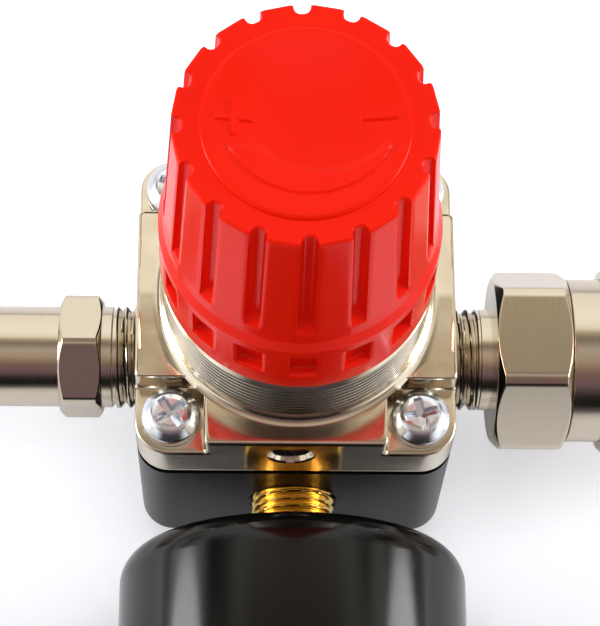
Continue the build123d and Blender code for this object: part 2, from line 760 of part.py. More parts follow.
# Quick coupler, socket half: neck, tube with ball holes, valve seat and packing groove
ball_turns = [360 / ball_count * k + 45 for k in range(ball_count)]
with BuildPart() as coupler_body:
    with BuildSketch(Plane.XZ):
        section_along_x([
            (hex_end_x + seat_gap, coupler_neck_end_x, coupler_neck_r),
            (coupler_neck_end_x, coupler_end_x, coupler_tube_r),
        ])
    revolve(axis=port_axis)
    with BuildSketch(Plane.XZ):
        section_along_x([
            (hex_end_x, spigot_end_x + seat_gap, spigot_r),
            (spigot_end_x, coupler_seat_x, coupler_chamber_r),
            (coupler_seat_x, coupler_seat_x + coupler_seat_thick + 1, coupler_seat_r),
            (coupler_seat_x + coupler_seat_thick, coupler_end_x + 1, socket_r),
            (packing_x, packing_x + packing_length, packing_groove_r),
            (ball_x - ball_relief_half, ball_x + ball_relief_half, socket_r + ball_relief_depth),
        ])
        with Locations((sleeve_land_end_x + retaining_ring_thick / 2 + seat_gap, port_z + coupler_tube_r)):
            Rectangle(retaining_ring_thick + 2 * seat_gap, 0.9)
    revolve(axis=port_axis, mode=Mode.SUBTRACT)
    for turn in ball_turns:
        with BuildSketch(Plane(origin=(ball_x, 0, port_z), z_dir=Vector(0, 0, 1).rotate(Axis.X, turn))):
            Circle(ball_r + running)
        extrude(amount=coupler_tube_r + 1, mode=Mode.SUBTRACT)
write(coupler_body, "coupler_body")

with BuildPart() as sleeve_retaining_ring:
    with BuildSketch(Plane.YZ.offset(sleeve_land_end_x + seat_gap)):
        with Locations((0, port_z)):
            Circle(retaining_ring_r)
            Circle(coupler_tube_r - 0.4, mode=Mode.SUBTRACT)
        with Locations((0, port_z - coupler_tube_r)):
            Rectangle(2.4, 4, mode=Mode.SUBTRACT)
    extrude(amount=retaining_ring_thick)
write(sleeve_retaining_ring, "sleeve_retaining_ring")

# Sleeve: grip outside, spring room, land over the balls, shoulder against the ring
sleeve_x = hex_end_x + sleeve_travel + 2 * free_gap
ball_centre_r = coupler_tube_r + running - ball_gap - ball_r
sleeve_shoulder_r = ball_centre_r + ball_travel + ball_r + ball_gap
with BuildPart() as coupler_sleeve:
    with BuildSketch(Plane.XZ):
        with BuildLine():
            Polyline(
                (sleeve_x, port_z + coupler_neck_r + running), (sleeve_x, port_z + sleeve_r - 1.1),
                (sleeve_x + 1.1, port_z + sleeve_r), (sleeve_end_x - 0.9, port_z + sleeve_r),
                (sleeve_end_x, port_z + sleeve_r - 0.9),
                (sleeve_end_x, port_z + retaining_ring_r + sleeve_recess_gap),
                (sleeve_land_end_x, port_z + retaining_ring_r + sleeve_recess_gap),
                (sleeve_land_end_x, port_z + sleeve_shoulder_r),
                (sleeve_land_end_x - sleeve_land_ramp, port_z + coupler_tube_r + running),
                (sleeve_land_x, port_z + coupler_tube_r + running),
                (sleeve_land_x, port_z + coupler_neck_r + running), close=True,
            )
        make_face()
    revolve(axis=port_axis)
write(coupler_sleeve, "coupler_sleeve")

with BuildPart() as sleeve_spring:
    coil(coupler_neck_end_x + seat_gap, sleeve_land_x - seat_gap, sleeve_spring_turns,
         (coupler_tube_r + coupler_neck_r) / 2, sleeve_wire_r, along_x=True)
write(sleeve_spring, "sleeve_spring")

for k, turn in enumerate(ball_turns):
    with BuildPart() as locking_ball:
        with Locations(Vector(ball_x, 0, port_z) + Vector(0, 0, ball_centre_r).rotate(Axis.X, turn)):
            Sphere(ball_r)
    write(locking_ball, f"locking_ball_{k + 1}")

# Coupler valve: shut on its seat until a plug pushes its nose back
head_front_x = coupler_seat_x - coupler_seal_thick - seat_gap
head_back_x = head_front_x - coupler_head_thick
with BuildPart() as coupler_valve:
    with BuildSketch(Plane.XZ):
        section_along_x([
            (head_back_x, head_front_x, coupler_head_r),
            (head_back_x - 2.2, head_front_x, coupler_valve_spring_r - coupler_valve_wire_r - 0.2),
            (head_front_x, head_front_x + coupler_nose_length, coupler_nose_r),
        ])
    revolve(axis=port_axis)
    with BuildSketch(Plane.XZ):
        section_along_x([(head_front_x + 1, head_front_x + coupler_nose_length + 1,
                          coupler_nose_bore_r)])
    revolve(axis=port_axis, mode=Mode.SUBTRACT)
    for k in range(4):
        side = Vector(0, 0, 1).rotate(Axis.X, 90 * k)
        with BuildSketch(Plane(origin=(head_front_x + 2.1, 0, port_z), z_dir=side)):
            Circle(0.8)
        extrude(amount=coupler_nose_r + 1, mode=Mode.SUBTRACT)
write(coupler_valve, "coupler_valve")

with BuildPart() as coupler_valve_seal:
    with BuildSketch(Plane.XZ):
        section_along_x([(head_front_x, head_front_x + coupler_seal_thick, coupler_head_r - 0.1)])
        section_along_x([(head_front_x - 1, coupler_seat_x, coupler_nose_r + press_gap)], mode=Mode.SUBTRACT)
    revolve(axis=port_axis)
write(coupler_valve_seal, "coupler_valve_seal")

with BuildPart() as coupler_valve_spring:
    coil(spring_pocket_x + seat_gap, head_back_x - seat_gap, coupler_valve_spring_turns,
         coupler_valve_spring_r, coupler_valve_wire_r, along_x=True)
write(coupler_valve_spring, "coupler_valve_spring")

with BuildPart() as coupler_packing:
    with BuildSketch(Plane.XZ):
        section_along_x([(packing_x + seat_gap, packing_x + packing_length - seat_gap,
                          packing_groove_r - thread_gap)])
        section_along_x([(packing_x, packing_x + packing_length, packing_bore_r)],
                        mode=Mode.SUBTRACT)
    revolve(axis=port_axis)
write(coupler_packing, "coupler_packing")

# Gauge socket: brass stem, wrench flats and the block that carries the bent tube
gauge_front_y = gauge_back_y + gauge_depth
block_back_y = gauge_back_y + gauge_back_wall + seat_gap
stem_flats_y = gauge_back_y - stem_flats_length
block_foot_z = port_z - tube_bend_r - 2.2
case_screw_places = [(x, port_z - case_screw_drop) for x in (-case_screw_spacing / 2, case_screw_spacing / 2)]
with BuildPart() as gauge_socket:
    with BuildSketch(Plane.YZ):
        section_along_y([
            (half_width - gauge_port_depth + seat_gap, stem_flats_y, gauge_port_r - thread_gap),
            (stem_flats_y, block_back_y + 1, stem_neck_r),
        ])
    revolve(axis=gauge_axis)
    chamfer(gauge_socket.faces().sort_by(Axis.Y)[-1].edges(), 0.7)
    with BuildSketch(Plane.XZ.offset(stem_flats_y)):
        with Locations((0, port_z)):
            Rectangle(stem_flats, stem_flats)
    extrude(amount=gauge_back_y - stem_flats_y - seat_gap)
    with BuildSketch(Plane.XZ.offset(block_back_y)):
        with Locations((0, (port_z + block_head + block_foot_z) / 2)):
            Rectangle(block_width, port_z + block_head - block_foot_z)
    extrude(amount=block_front_y - block_back_y)
    with BuildSketch(Plane.XZ.offset(half_width - gauge_port_depth)):
        with Locations((0, port_z)):
            Circle(stem_bore_r)
    extrude(amount=tube_y - half_width + gauge_port_depth, mode=Mode.SUBTRACT)
    with BuildSketch(Plane.XZ.offset(block_back_y)):
        with Locations(*case_screw_places):
            Circle(case_screw_r + thread_gap)
    extrude(amount=4, mode=Mode.SUBTRACT)
write(gauge_socket, "gauge_socket")

# Gauge case: deep cup with a rounded back
with BuildPart() as gauge_case:
    with BuildSketch(Plane.YZ):
        section_along_y([(gauge_back_y, gauge_front_y, gauge_r)])
    revolve(axis=gauge_axis)
    fillet(gauge_case.faces().sort_by(Axis.Y)[-1].edges(), gauge_back_round)
    chamfer(gauge_case.faces().sort_by(Axis.Y)[0].edges(), gauge_front_bevel)
    with BuildSketch(Plane.YZ):
        section_along_y([
            (gauge_back_y + gauge_back_wall, gauge_front_y - 1, gauge_back_room_r),
            (gauge_back_y + gauge_back_wall + 2.6, gauge_front_y - 1, gauge_room_r),
            (gauge_front_y - lens_thick - seat_gap, gauge_front_y + 1, lens_r + seat_gap),
            (gauge_back_y - 1, gauge_back_y + gauge_back_wall + 1, stem_neck_r + running),
        ])
    revolve(axis=gauge_axis, mode=Mode.SUBTRACT)
    with BuildSketch(Plane.XZ.offset(gauge_back_y - 1)):
        with Locations(*case_screw_places):
            Circle(case_screw_r + screw_clearance)
    extrude(amount=gauge_back_wall + 2, mode=Mode.SUBTRACT)
write(gauge_case, "gauge_case")

with BuildPart() as case_screws:
    with BuildSketch(Plane.XZ.offset(gauge_back_y - 1.1 - seat_gap)):
        with Locations(*case_screw_places):
            Circle(2 * case_screw_r)
    extrude(amount=1.1)
    chamfer(case_screws.faces().filter_by(Plane.XZ).group_by(Axis.Y)[-1].edges(), 0.4)
    with BuildSketch(Plane.XZ.offset(gauge_back_y - 0.5)):
        with Locations(*case_screw_places):
            Circle(case_screw_r)
    extrude(amount=5)
write(case_screws, "case_screws")

with BuildPart() as gauge_lens:
    with BuildSketch(Plane.YZ):
        section_along_y([(gauge_front_y - lens_thick, gauge_front_y - 0.2, lens_r)])
    revolve(axis=gauge_axis)
    chamfer(gauge_lens.faces().sort_by(Axis.Y)[0].edges(), 0.6)
write(gauge_lens, "gauge_lens")

# Bent tube: flat section carried round the gauge axis from the block to its closed tip
start_angle = radians(-90) - asin((block_width / 2 + seat_gap) / (tube_bend_r - tube_section_thick / 2))
tip_angle = start_angle - radians(tube_sweep) - (tip_length / 2 + tip_gap) / tube_bend_r
start_dir = Vector(cos(start_angle), 0, sin(start_angle))
tip_dir = Vector(cos(tip_angle), 0, sin(tip_angle))
tip_centre = Vector(0, 0, port_z) + tip_dir * tube_bend_r
with BuildPart() as bourdon_tube:
    tube_end = Plane(
        origin=Vector(0, -tube_y, port_z) + start_dir * tube_bend_r,
        x_dir=start_dir, z_dir=Vector(-start_dir.Z, 0, start_dir.X),
    )
    with BuildSketch(tube_end) as tube_section:
        Rectangle(tube_section_thick, tube_section_width)
        chamfer(tube_section.vertices(), tube_section_thick * 0.3)
    revolve(axis=Axis((0, 0, port_z), (0, 1, 0)), revolution_arc=tube_sweep)
write(bourdon_tube, "bourdon_tube")

link_start_y = gear_start_y + gear_thick + seat_gap
tip_back_y = tube_y - tube_section_width / 2
with BuildPart() as bourdon_tip:
    with BuildSketch(Plane(origin=tip_centre - Vector(0, tip_back_y, 0), x_dir=tip_dir, z_dir=(0, -1, 0))):
        Rectangle(2.4, tip_length - 2 * seat_gap)
    extrude(amount=tube_section_width)
    with BuildSketch(Plane(origin=tip_centre - Vector(0, tip_back_y, 0), x_dir=tip_dir, z_dir=(0, -1, 0))):
        Circle(tip_pin_r)
    extrude(amount=link_start_y - tip_back_y - seat_gap)
write(bourdon_tip, "bourdon_tip")

# Movement: two plates on four pillars, a toothed sector and a pinion on the pointer arbor
sector_distance = gear_module * (pinion_teeth + sector_teeth) / 2
sector_dir = radians(sector_bearing + 180)
sector_x = sector_distance * cos(sector_dir)
sector_z = port_z + sector_distance * sin(sector_dir)
back_plate_y = block_front_y + seat_gap
front_plate_y = back_plate_y + movement_plate_thick + movement_room
pillar_places = [
    (0, port_z + 2.6), (sector_x - 0.92, sector_z - 2.54),
    (sector_x + 1.35, sector_z + 2.34), (-sector_x - 1.35, sector_z + 2.34),
]
dial_screw_places = pillar_places[2:]


def movement_plate(back_y, holes):
    """V shaped plate over both arbors, pierced where the arbors run."""
    with BuildSketch(Plane.XZ.offset(back_y)) as plate_face:
        for side in (1, -1):
            with Locations((side * sector_x / 2, (port_z + sector_z) / 2)):
                SlotOverall(sector_distance + 2 * plate_half_width, 2 * plate_half_width,
                            rotation=side * (sector_bearing + 180))
        with Locations(*holes):
            Circle(arbor_r + running, mode=Mode.SUBTRACT)
    extrude(plate_face.sketch, amount=movement_plate_thick)


arbor_places = [(0, port_z), (sector_x, sector_z)]
with BuildPart() as movement_back_plate:
    movement_plate(back_plate_y, arbor_places)
write(movement_back_plate, "movement_back_plate")

dial_back_y = front_plate_y + movement_plate_thick + dial_gap
with BuildPart() as movement_front_plate:
    movement_plate(front_plate_y, arbor_places)
    with BuildSketch(Plane.XZ.offset(front_plate_y + movement_plate_thick)):
        with Locations(*dial_screw_places):
            Circle(1.0)
    extrude(amount=dial_gap - seat_gap)
    with BuildSketch(Plane.XZ.offset(dial_back_y - seat_gap)):
        with Locations(*dial_screw_places):
            Circle(0.6)
    extrude(amount=-1.4, mode=Mode.SUBTRACT)
write(movement_front_plate, "movement_front_plate")

with BuildPart() as movement_pillars:
    with BuildSketch(Plane.XZ.offset(back_plate_y + movement_plate_thick + seat_gap)):
        with Locations(*pillar_places):
            Circle(pillar_r)
    extrude(amount=movement_room - 2 * seat_gap)
write(movement_pillars, "movement_pillars")


def tooth(pitch_r, angle, centre):
    """One straight sided tooth on a gear about centre, its middle at angle."""
    root, crest = pitch_r - tooth_depth - 0.05, pitch_r + tooth_rise
    sides = [(root, 1.6), (crest, 0.45), (crest, -0.45), (root, -1.6)]
    across = Vector(-sin(angle), cos(angle))
    out = Vector(cos(angle), sin(angle))
    corners = [Vector(*centre) + out * r + across * (tooth_half_width * w) for r, w in sides]
    with BuildLine() as outline:
        Polyline(*corners, close=True)
    make_face(outline.line)


pinion_pitch_r = gear_module * pinion_teeth / 2
sector_pitch_r = gear_module * sector_teeth / 2
pointer_y = dial_back_y + dial_thick + pointer_gap
with BuildPart() as pointer_arbor:
    with BuildSketch(Plane.XZ.offset(back_plate_y + seat_gap)):
        with Locations((0, port_z)):
            Circle(arbor_r)
    extrude(amount=pointer_y + 1 - back_plate_y)
    with BuildSketch(Plane.XZ.offset(gear_start_y)):
        with Locations((0, port_z)):
            Circle(pinion_pitch_r - tooth_depth)
        for k in range(pinion_teeth):
            tooth(pinion_pitch_r, sector_dir + pi / pinion_teeth * (2 * k + 1), (0, port_z))
    extrude(amount=gear_thick)
write(pointer_arbor, "pointer_arbor")

sector_pitch_angle = 2 * pi / sector_teeth
rim_start = radians(sector_bearing) + (sector_first_tooth - 0.7) * sector_pitch_angle
rim_end = radians(sector_bearing) + (sector_last_tooth + 0.7) * sector_pitch_angle
rim_r = sector_pitch_r - tooth_depth
tail_dir = Vector(cos(radians(tail_angle)), sin(radians(tail_angle)))
tail_end = Vector(sector_x, sector_z) + tail_dir * tail_length


def pie(radius, start, end):
    """Slice of a disc about the sector's arbor."""
    centre = Vector(sector_x, sector_z)
    rim = [centre + Vector(cos(a), sin(a)) * radius for a in (start, (start + end) / 2, end)]
    with BuildLine() as outline:
        Line(centre, rim[0])
        ThreePointArc(*rim)
        Line(rim[2], centre)
    return make_face(outline.line)


with BuildPart() as sector_gear:
    with BuildSketch(Plane.XZ.offset(gear_start_y)):
        pie(rim_r, rim_start, rim_end)
        for k in range(sector_first_tooth, sector_last_tooth + 1):
            tooth(sector_pitch_r, radians(sector_bearing) + k * sector_pitch_angle, (sector_x, sector_z))
        with Locations((sector_x, sector_z)):
            Circle(sector_hub_r)
        with Locations((Vector(sector_x, sector_z) + tail_end) / 2):
            SlotCenterToCenter(tail_length, 1.9, rotation=tail_angle)
        with Locations(tail_end):
            Circle(link_pin_r + running, mode=Mode.SUBTRACT)
    extrude(amount=gear_thick)
    with BuildSketch(Plane.XZ.offset(back_plate_y + seat_gap)):
        with Locations((sector_x, sector_z)):
            Circle(arbor_r)
    extrude(amount=movement_room + 2 * movement_plate_thick - 2 * seat_gap)
write(sector_gear, "sector_gear")

# Link from the sector's tail to the tip of the bent tube
link_end = Vector(tip_centre.X, tip_centre.Z)
link_run = link_end - tail_end
with BuildPart() as tip_link:
    with BuildSketch(Plane.XZ.offset(link_start_y)):
        with Locations((tail_end + link_end) / 2):
            SlotCenterToCenter(link_run.length, link_width, rotation=degrees(atan2(link_run.Y, link_run.X)))
    extrude(amount=link_thick)
    with BuildSketch(Plane.XZ.offset(gear_start_y)):
        with Locations(tail_end):
            Circle(link_pin_r)
    extrude(amount=gear_thick + seat_gap)
write(tip_link, "tip_link")

# Dial with its zero stop, two screws, pointer
stop_angle = radians(pointer_rest) + asin((0.6 + stop_pin_r) / stop_pin_reach)
with BuildPart() as gauge_dial:
    with BuildSketch(Plane.XZ.offset(dial_back_y)):
        with Locations((0, port_z)):
            Circle(dial_r)
            Circle(dial_bore_r, mode=Mode.SUBTRACT)
        with Locations(*dial_screw_places):
            Circle(0.7, mode=Mode.SUBTRACT)
    extrude(amount=dial_thick)
    with BuildSketch(Plane.XZ.offset(dial_back_y + dial_thick / 2)):
        with Locations((stop_pin_reach * cos(stop_angle), port_z + stop_pin_reach * sin(stop_angle))):
            Circle(stop_pin_r)
    extrude(amount=pointer_gap + pointer_thick + 0.4)
write(gauge_dial, "gauge_dial")

with BuildPart() as dial_screws:
    with BuildSketch(Plane.XZ.offset(dial_back_y - 1.2)):
        with Locations(*dial_screw_places):
            Circle(0.55)
    extrude(amount=1.2 + dial_thick + seat_gap)
    with BuildSketch(Plane.XZ.offset(dial_back_y + dial_thick + seat_gap)):
        with Locations(*dial_screw_places):
            Circle(dial_screw_head_r)
    extrude(amount=0.6)
write(dial_screws, "dial_screws")

with BuildPart() as gauge_pointer:
    needle = radians(pointer_rest)
    along, across = Vector(cos(needle), sin(needle)), Vector(-sin(needle), cos(needle))
    hub = Vector(0, port_z)
    with BuildSketch(Plane.XZ.offset(pointer_y)):
        with BuildLine():
            Polyline(
                hub + along * pointer_reach, hub + across * 0.75, hub - along * pointer_tail + across * 1.1,
                hub - along * pointer_tail - across * 1.1, hub - across * 0.75, close=True,
            )
        make_face()
        with Locations(hub):
            Circle(pointer_hub_r)
            Circle(arbor_r + press_gap, mode=Mode.SUBTRACT)
    extrude(amount=pointer_thick)
    with BuildSketch(Plane.XZ.offset(pointer_y - 0.6)):
        with Locations(hub):
            Circle(pointer_hub_r - 0.6)
            Circle(arbor_r + press_gap, mode=Mode.SUBTRACT)
    extrude(amount=0.7)
write(gauge_pointer, "gauge_pointer")
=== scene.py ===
# %% [markdown]
# # A small air pressure regulator, finished in Blender
# The part is an air regulator: a red knob loads a spring over a diaphragm, and air goes
# from the nipple on the left to the quick coupler on the right. The metal pieces arrive
# as a fixed frame of CAD nodes. Each outer piece is drawn again here as a smooth surface
# worked out with numpy, because a CAD mesh has flat facets and no threads or knurls.

# %% Load the frame
import bpy
import bmesh
import numpy as np
from mathutils import Matrix, Vector


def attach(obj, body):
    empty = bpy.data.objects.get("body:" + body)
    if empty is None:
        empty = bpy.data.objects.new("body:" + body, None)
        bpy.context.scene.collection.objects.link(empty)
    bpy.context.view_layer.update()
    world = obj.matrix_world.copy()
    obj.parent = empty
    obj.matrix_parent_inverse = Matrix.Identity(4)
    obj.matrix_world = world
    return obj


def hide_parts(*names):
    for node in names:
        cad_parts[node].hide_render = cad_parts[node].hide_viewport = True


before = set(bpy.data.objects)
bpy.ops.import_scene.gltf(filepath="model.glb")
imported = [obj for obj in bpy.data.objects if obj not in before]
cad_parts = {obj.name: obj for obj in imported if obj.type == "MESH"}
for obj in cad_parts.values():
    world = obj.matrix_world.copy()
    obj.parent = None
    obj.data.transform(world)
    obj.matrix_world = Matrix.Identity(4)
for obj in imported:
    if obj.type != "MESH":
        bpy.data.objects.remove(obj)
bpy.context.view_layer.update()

# %% [markdown]
# All sizes below are written in millimetres, as on a drawing, and turned to Blender's
# metres once, when a mesh is made. Three axes carry almost every piece: the knob's
# axis, the line through both ports, and the gauge's axis. Each is an origin and three
# directions: along the axis, and two across it.

# %% Units and axes
MM = 0.001
TAU = 2 * np.pi
PORT_Z = 12.4
EAST, NORTH, UP = np.eye(3)
KNOB_AXIS = (np.zeros(3), UP, EAST, NORTH)
PORT_AXIS = (np.array((0, 0, PORT_Z)), EAST, NORTH, UP)
GAUGE_AXIS = (np.array((0, 0, PORT_Z)), -NORTH, EAST, UP)
BODY_HALF = 19.2
print("port axis height", PORT_Z, "mm")

# %% [markdown]
# The camera stands where the photographer stood: well above the part and a little to
# the left, looking down at the knob. Its place and its three angles were found by
# fitting the edges of the part. A long lens keeps the two ports nearly parallel.

# %% Camera
CAMERA_PLACE = np.array((-6.063, -112.919, 302.495))
CAMERA_PITCH, CAMERA_YAW, CAMERA_ROLL = np.radians((-67.625, 3.371, 3.584))
SENSOR = 36.0
PICTURE_HIGH = 626
FOCAL_PIXELS = 2423.29


def camera_axes():
    """Right, up and forward: yaw turns forward about the vertical, pitch lowers it, roll turns the frame."""
    ahead = np.array((
        np.sin(CAMERA_YAW) * np.cos(CAMERA_PITCH), np.cos(CAMERA_YAW) * np.cos(CAMERA_PITCH),
        np.sin(CAMERA_PITCH),
    ))
    level = np.array((np.cos(CAMERA_YAW), -np.sin(CAMERA_YAW), 0))
    above = np.cross(level, ahead)
    right = np.cos(CAMERA_ROLL) * level + np.sin(CAMERA_ROLL) * above
    return right, np.cross(right, ahead), ahead


right, above, ahead = camera_axes()
camera_data = bpy.data.cameras.new("photo_camera")
camera_data.sensor_fit = "VERTICAL"
camera_data.sensor_height = SENSOR
camera_data.lens = FOCAL_PIXELS / PICTURE_HIGH * SENSOR
camera_data.clip_end = 5
camera = bpy.data.objects.new("photo_camera", camera_data)
turned = Matrix(np.stack((right, above, -ahead), 1).tolist()).to_4x4()
camera.matrix_world = Matrix.Translation(Vector(CAMERA_PLACE * MM)) @ turned
bpy.context.scene.collection.objects.link(camera)
bpy.context.scene.camera = camera
print("lens", round(camera_data.lens, 1), "mm")

# %% [markdown]
# A surface is a grid of points: rows run along a profile, columns run round an axis.
# One helper turns such a grid into a closed mesh. It welds the seam and the poles, so
# that the shell is watertight, and lets the normals point outwards. Edges sharper than
# a set angle stay crisp, and all else is shaded smooth.

# %% Grid to mesh
WELD = 1e-7
CRISP = np.radians(38)


def shell(name, *grids, crisp=CRISP):
    """Closed surfaces: each grid has rows, columns and x, y, z in millimetres; columns wrap around."""
    mesh = bpy.data.meshes.new(name)
    points, faces, start = [], [], 0
    for grid in grids:
        rows, columns = grid.shape[:2]
        r, c = np.meshgrid(np.arange(rows - 1), np.arange(columns), indexing="ij")
        nearer, further = r * columns, (r + 1) * columns
        beside = (c + 1) % columns
        quads = np.stack((nearer + c, nearer + beside, further + beside, further + c), -1)
        faces.append(quads.reshape(-1, 4) + start)
        points.append(grid.reshape(-1, 3) * MM)
        start += rows * columns
    points, faces = np.concatenate(points), np.concatenate(faces)
    mesh.vertices.add(len(points))
    mesh.vertices.foreach_set("co", points.astype(np.float32).ravel())
    mesh.loops.add(faces.size)
    mesh.loops.foreach_set("vertex_index", faces.astype(np.int32).ravel())
    mesh.polygons.add(len(faces))
    mesh.polygons.foreach_set("loop_start", np.arange(0, faces.size, 4, dtype=np.int32))
    mesh.update(calc_edges=True)
    weld(mesh)
    return place(name, mesh, crisp)


def weld(mesh):
    """Merges points that lie together, drops faces without area and turns all normals outwards."""
    work = bmesh.new()
    work.from_mesh(mesh)
    bmesh.ops.remove_doubles(work, verts=work.verts, dist=WELD)
    bmesh.ops.dissolve_degenerate(work, edges=work.edges, dist=WELD)
    bmesh.ops.recalc_face_normals(work, faces=work.faces)
    work.to_mesh(mesh)
    work.free()


def place(name, mesh, crisp=CRISP):
    """Puts a mesh into the scene, smooth but for edges that bend more than the crisp angle."""
    mesh.shade_smooth()
    mesh.set_sharp_from_angle(angle=crisp)
    piece = bpy.data.objects.new(name, mesh)
    bpy.context.scene.collection.objects.link(piece)
    return piece


# %% [markdown]
# Turned pieces share one formula: a point lies on the axis at the profile's first
# value, and the profile's second value away from it, in the direction of the column's
# angle. An optional rule changes that distance by angle, which is how a hexagon, a
# thread, a flute or a knurl is cut. A corner of a profile is never left sharp on a real
# piece, so a second helper swaps each corner for a small arc.

# %% Turned surfaces
def turn(profile, axis, angles, rule=None):
    """Point = origin + along * axis + out * (cos(angle) * side + sin(angle) * top)."""
    origin, line, side, top = axis
    along = np.broadcast_to(profile[:, :1], (len(profile), len(angles))).copy()
    out = np.broadcast_to(profile[:, 1:], along.shape).copy()
    angle = np.broadcast_to(angles, along.shape)
    if rule is not None:
        out = rule(along, angle, out)
    across = np.cos(angle)[..., None] * side + np.sin(angle)[..., None] * top
    return origin + along[..., None] * line + out[..., None] * across


def circle(count, start=0.0):
    """Angles spread evenly over one turn."""
    return start + np.arange(count) * TAU / count


def rounded(corners, closed=False, arc_points=6):
    """Corners as along, out, radius. Each becomes an arc about the point one radius from both runs."""
    line, count = [], len(corners)
    for k, (a, b, radius) in enumerate(corners):
        here = np.array((a, b), float)
        end = not closed and k in (0, count - 1)
        back = np.array(corners[k - 1][:2]) - here
        forth = np.array(corners[(k + 1) % count][:2]) - here
        if radius == 0 or end:
            line.append(here[None])
            continue
        back, forth = back / np.linalg.norm(back), forth / np.linalg.norm(forth)
        half = np.arccos(np.clip(back @ forth, -1, 1)) / 2
        middle = (back + forth) / np.linalg.norm(back + forth)
        centre = here + middle * radius / np.sin(half)
        first = here + back * radius / np.tan(half) - centre
        last = here + forth * radius / np.tan(half) - centre
        sweep = np.pi - 2 * half
        share = np.linspace(0, 1, arc_points)[:, None]
        arc = first * np.sin((1 - share) * sweep) + last * np.sin(share * sweep)
        line.append(centre + arc / np.sin(sweep))
    if closed:
        line.append(line[0][:1])
    return np.concatenate(line)


def finer(profile, spacing, low=-np.inf, high=np.inf):
    """Adds points on each run that lies between low and high, no further apart than the spacing."""
    line = [profile[:1]]
    for here, there in zip(profile[:-1], profile[1:]):
        inside = low <= min(here[0], there[0]) and max(here[0], there[0]) <= high
        parts = max(1, int(np.ceil(np.linalg.norm(there - here) / spacing))) if inside else 1
        line.append(here + (there - here) * (np.arange(1, parts + 1) / parts)[:, None])
    return np.concatenate(line)


def ease(value):
    """0 below 0, 1 above 1, and a smooth S between them."""
    share = np.clip(value, 0, 1)
    return share * share * (3 - 2 * share)


def soft_least(first, second, width):
    """The smaller of two values, with the corner where they cross rounded by the width."""
    blend = np.clip(0.5 + 0.5 * (second - first) / width, 0, 1)
    return second + (first - second) * blend - width * blend * (1 - blend)


# %% [markdown]
# Every colour is written as an sRGB hex value, as a paint chart gives it, and turned to
# the linear value that the renderer works in. One small function adds a shader node,
# sets its values and links its inputs, so that each material below reads as a list.

# %% Colours and nodes
def colour(code):
    """Each channel is divided by 12.92 in the dark, else raised to 2.4 after the sRGB offset."""
    channel = np.array([int(code[k:k + 2], 16) for k in (1, 3, 5)]) / 255
    light = np.where(channel <= 0.04045, channel / 12.92, ((channel + 0.055) / 1.055) ** 2.4)
    return (*light.tolist(), 1.0)


def add_node(tree, kind, settings=None, links=None):
    """A node with its values and links. The setting "stops" gives a colour ramp's places and colours."""
    made = tree.nodes.new(kind)
    for key, value in (settings or {}).items():
        if key == "stops":
            elements = made.color_ramp.elements
            while len(elements) < len(value):
                elements.new(0.5)
            for element, (where, code) in zip(elements, value):
                element.position, element.color = where, colour(code)
        elif isinstance(key, int) or key in made.inputs:
            made.inputs[key].default_value = value
        else:
            setattr(made, key, value)
    for key, source in (links or {}).items():
        tree.links.new(source, made.inputs[key])
    return made


def per_mm(size):
    """A noise texture's scale counts cells per metre of Object space; this is for cells of size mm."""
    return 1 / (size * MM)


def new_material(name):
    """An empty material and its node tree."""
    material = bpy.data.materials.new(name)
    material.use_nodes = True
    material.node_tree.nodes.clear()
    return material, material.node_tree


def finish_material(tree, shader):
    """Joins the shader to the output."""
    add_node(tree, "ShaderNodeOutputMaterial", links={"Surface": shader.outputs["BSDF"]})


# %% [markdown]
# The knob is moulded in glossy red ABS. Light spreads a little under the surface of a
# filled plastic and a mould leaves faint flow marks, so the colour drifts by a few
# percent over about 14 mm, and a very low bump of 0.8 mm grain keeps the gloss from
# looking like glass.

# %% Material: glossy red ABS
def glossy_red_abs():
    """Red with a slow drift, a little light under the skin and a soft gloss."""
    material, tree = new_material("glossy_red_abs")
    spot = add_node(tree, "ShaderNodeTexCoord").outputs["Object"]
    flow = add_node(tree, "ShaderNodeTexNoise", {"Scale": per_mm(14), "Detail": 2.0}, {"Vector": spot})
    grain = add_node(tree, "ShaderNodeTexNoise", {"Scale": per_mm(0.8), "Detail": 3.0}, {"Vector": spot})
    bump = add_node(tree, "ShaderNodeBump", {"Strength": 0.06, "Distance": 0.02 * MM},
                    {"Height": grain.outputs["Fac"]})
    shine = add_node(tree, "ShaderNodeMapRange", {"To Min": 0.15, "To Max": 0.22},
                     {"Value": flow.outputs["Fac"]})
    red = add_node(tree, "ShaderNodeValToRGB", {"stops": [(0.3, "#EA1A07"), (0.7, "#F01E09")]},
                   {"Fac": flow.outputs["Fac"]})
    shader = add_node(tree, "ShaderNodeBsdfPrincipled", {"IOR": 1.5, "Specular IOR Level": 0.09,
                      "Subsurface Weight": 0.03,
                      "Subsurface Radius": (1.5 * MM, 0.3 * MM, 0.1 * MM), "Subsurface Scale": 1.0},
                      {"Base Color": red.outputs["Color"], "Roughness": shine.outputs["Result"],
                       "Normal": bump.outputs["Normal"]})
    finish_material(tree, shader)
    return material


# %% [markdown]
# The bonnet is a zinc die casting with bright nickel on it. Nickel is a warm metal, a
# little yellow beside chrome. The plating follows the casting's skin, which is never
# quite flat: a slow wave of about 6 mm bends the reflections, and fine pits of 0.35 mm
# break up the highlights. The turned fittings have the same plating on brass, over
# fine rings that the lathe tool left round the axis, drawn here every 0.25 mm so that
# they show.

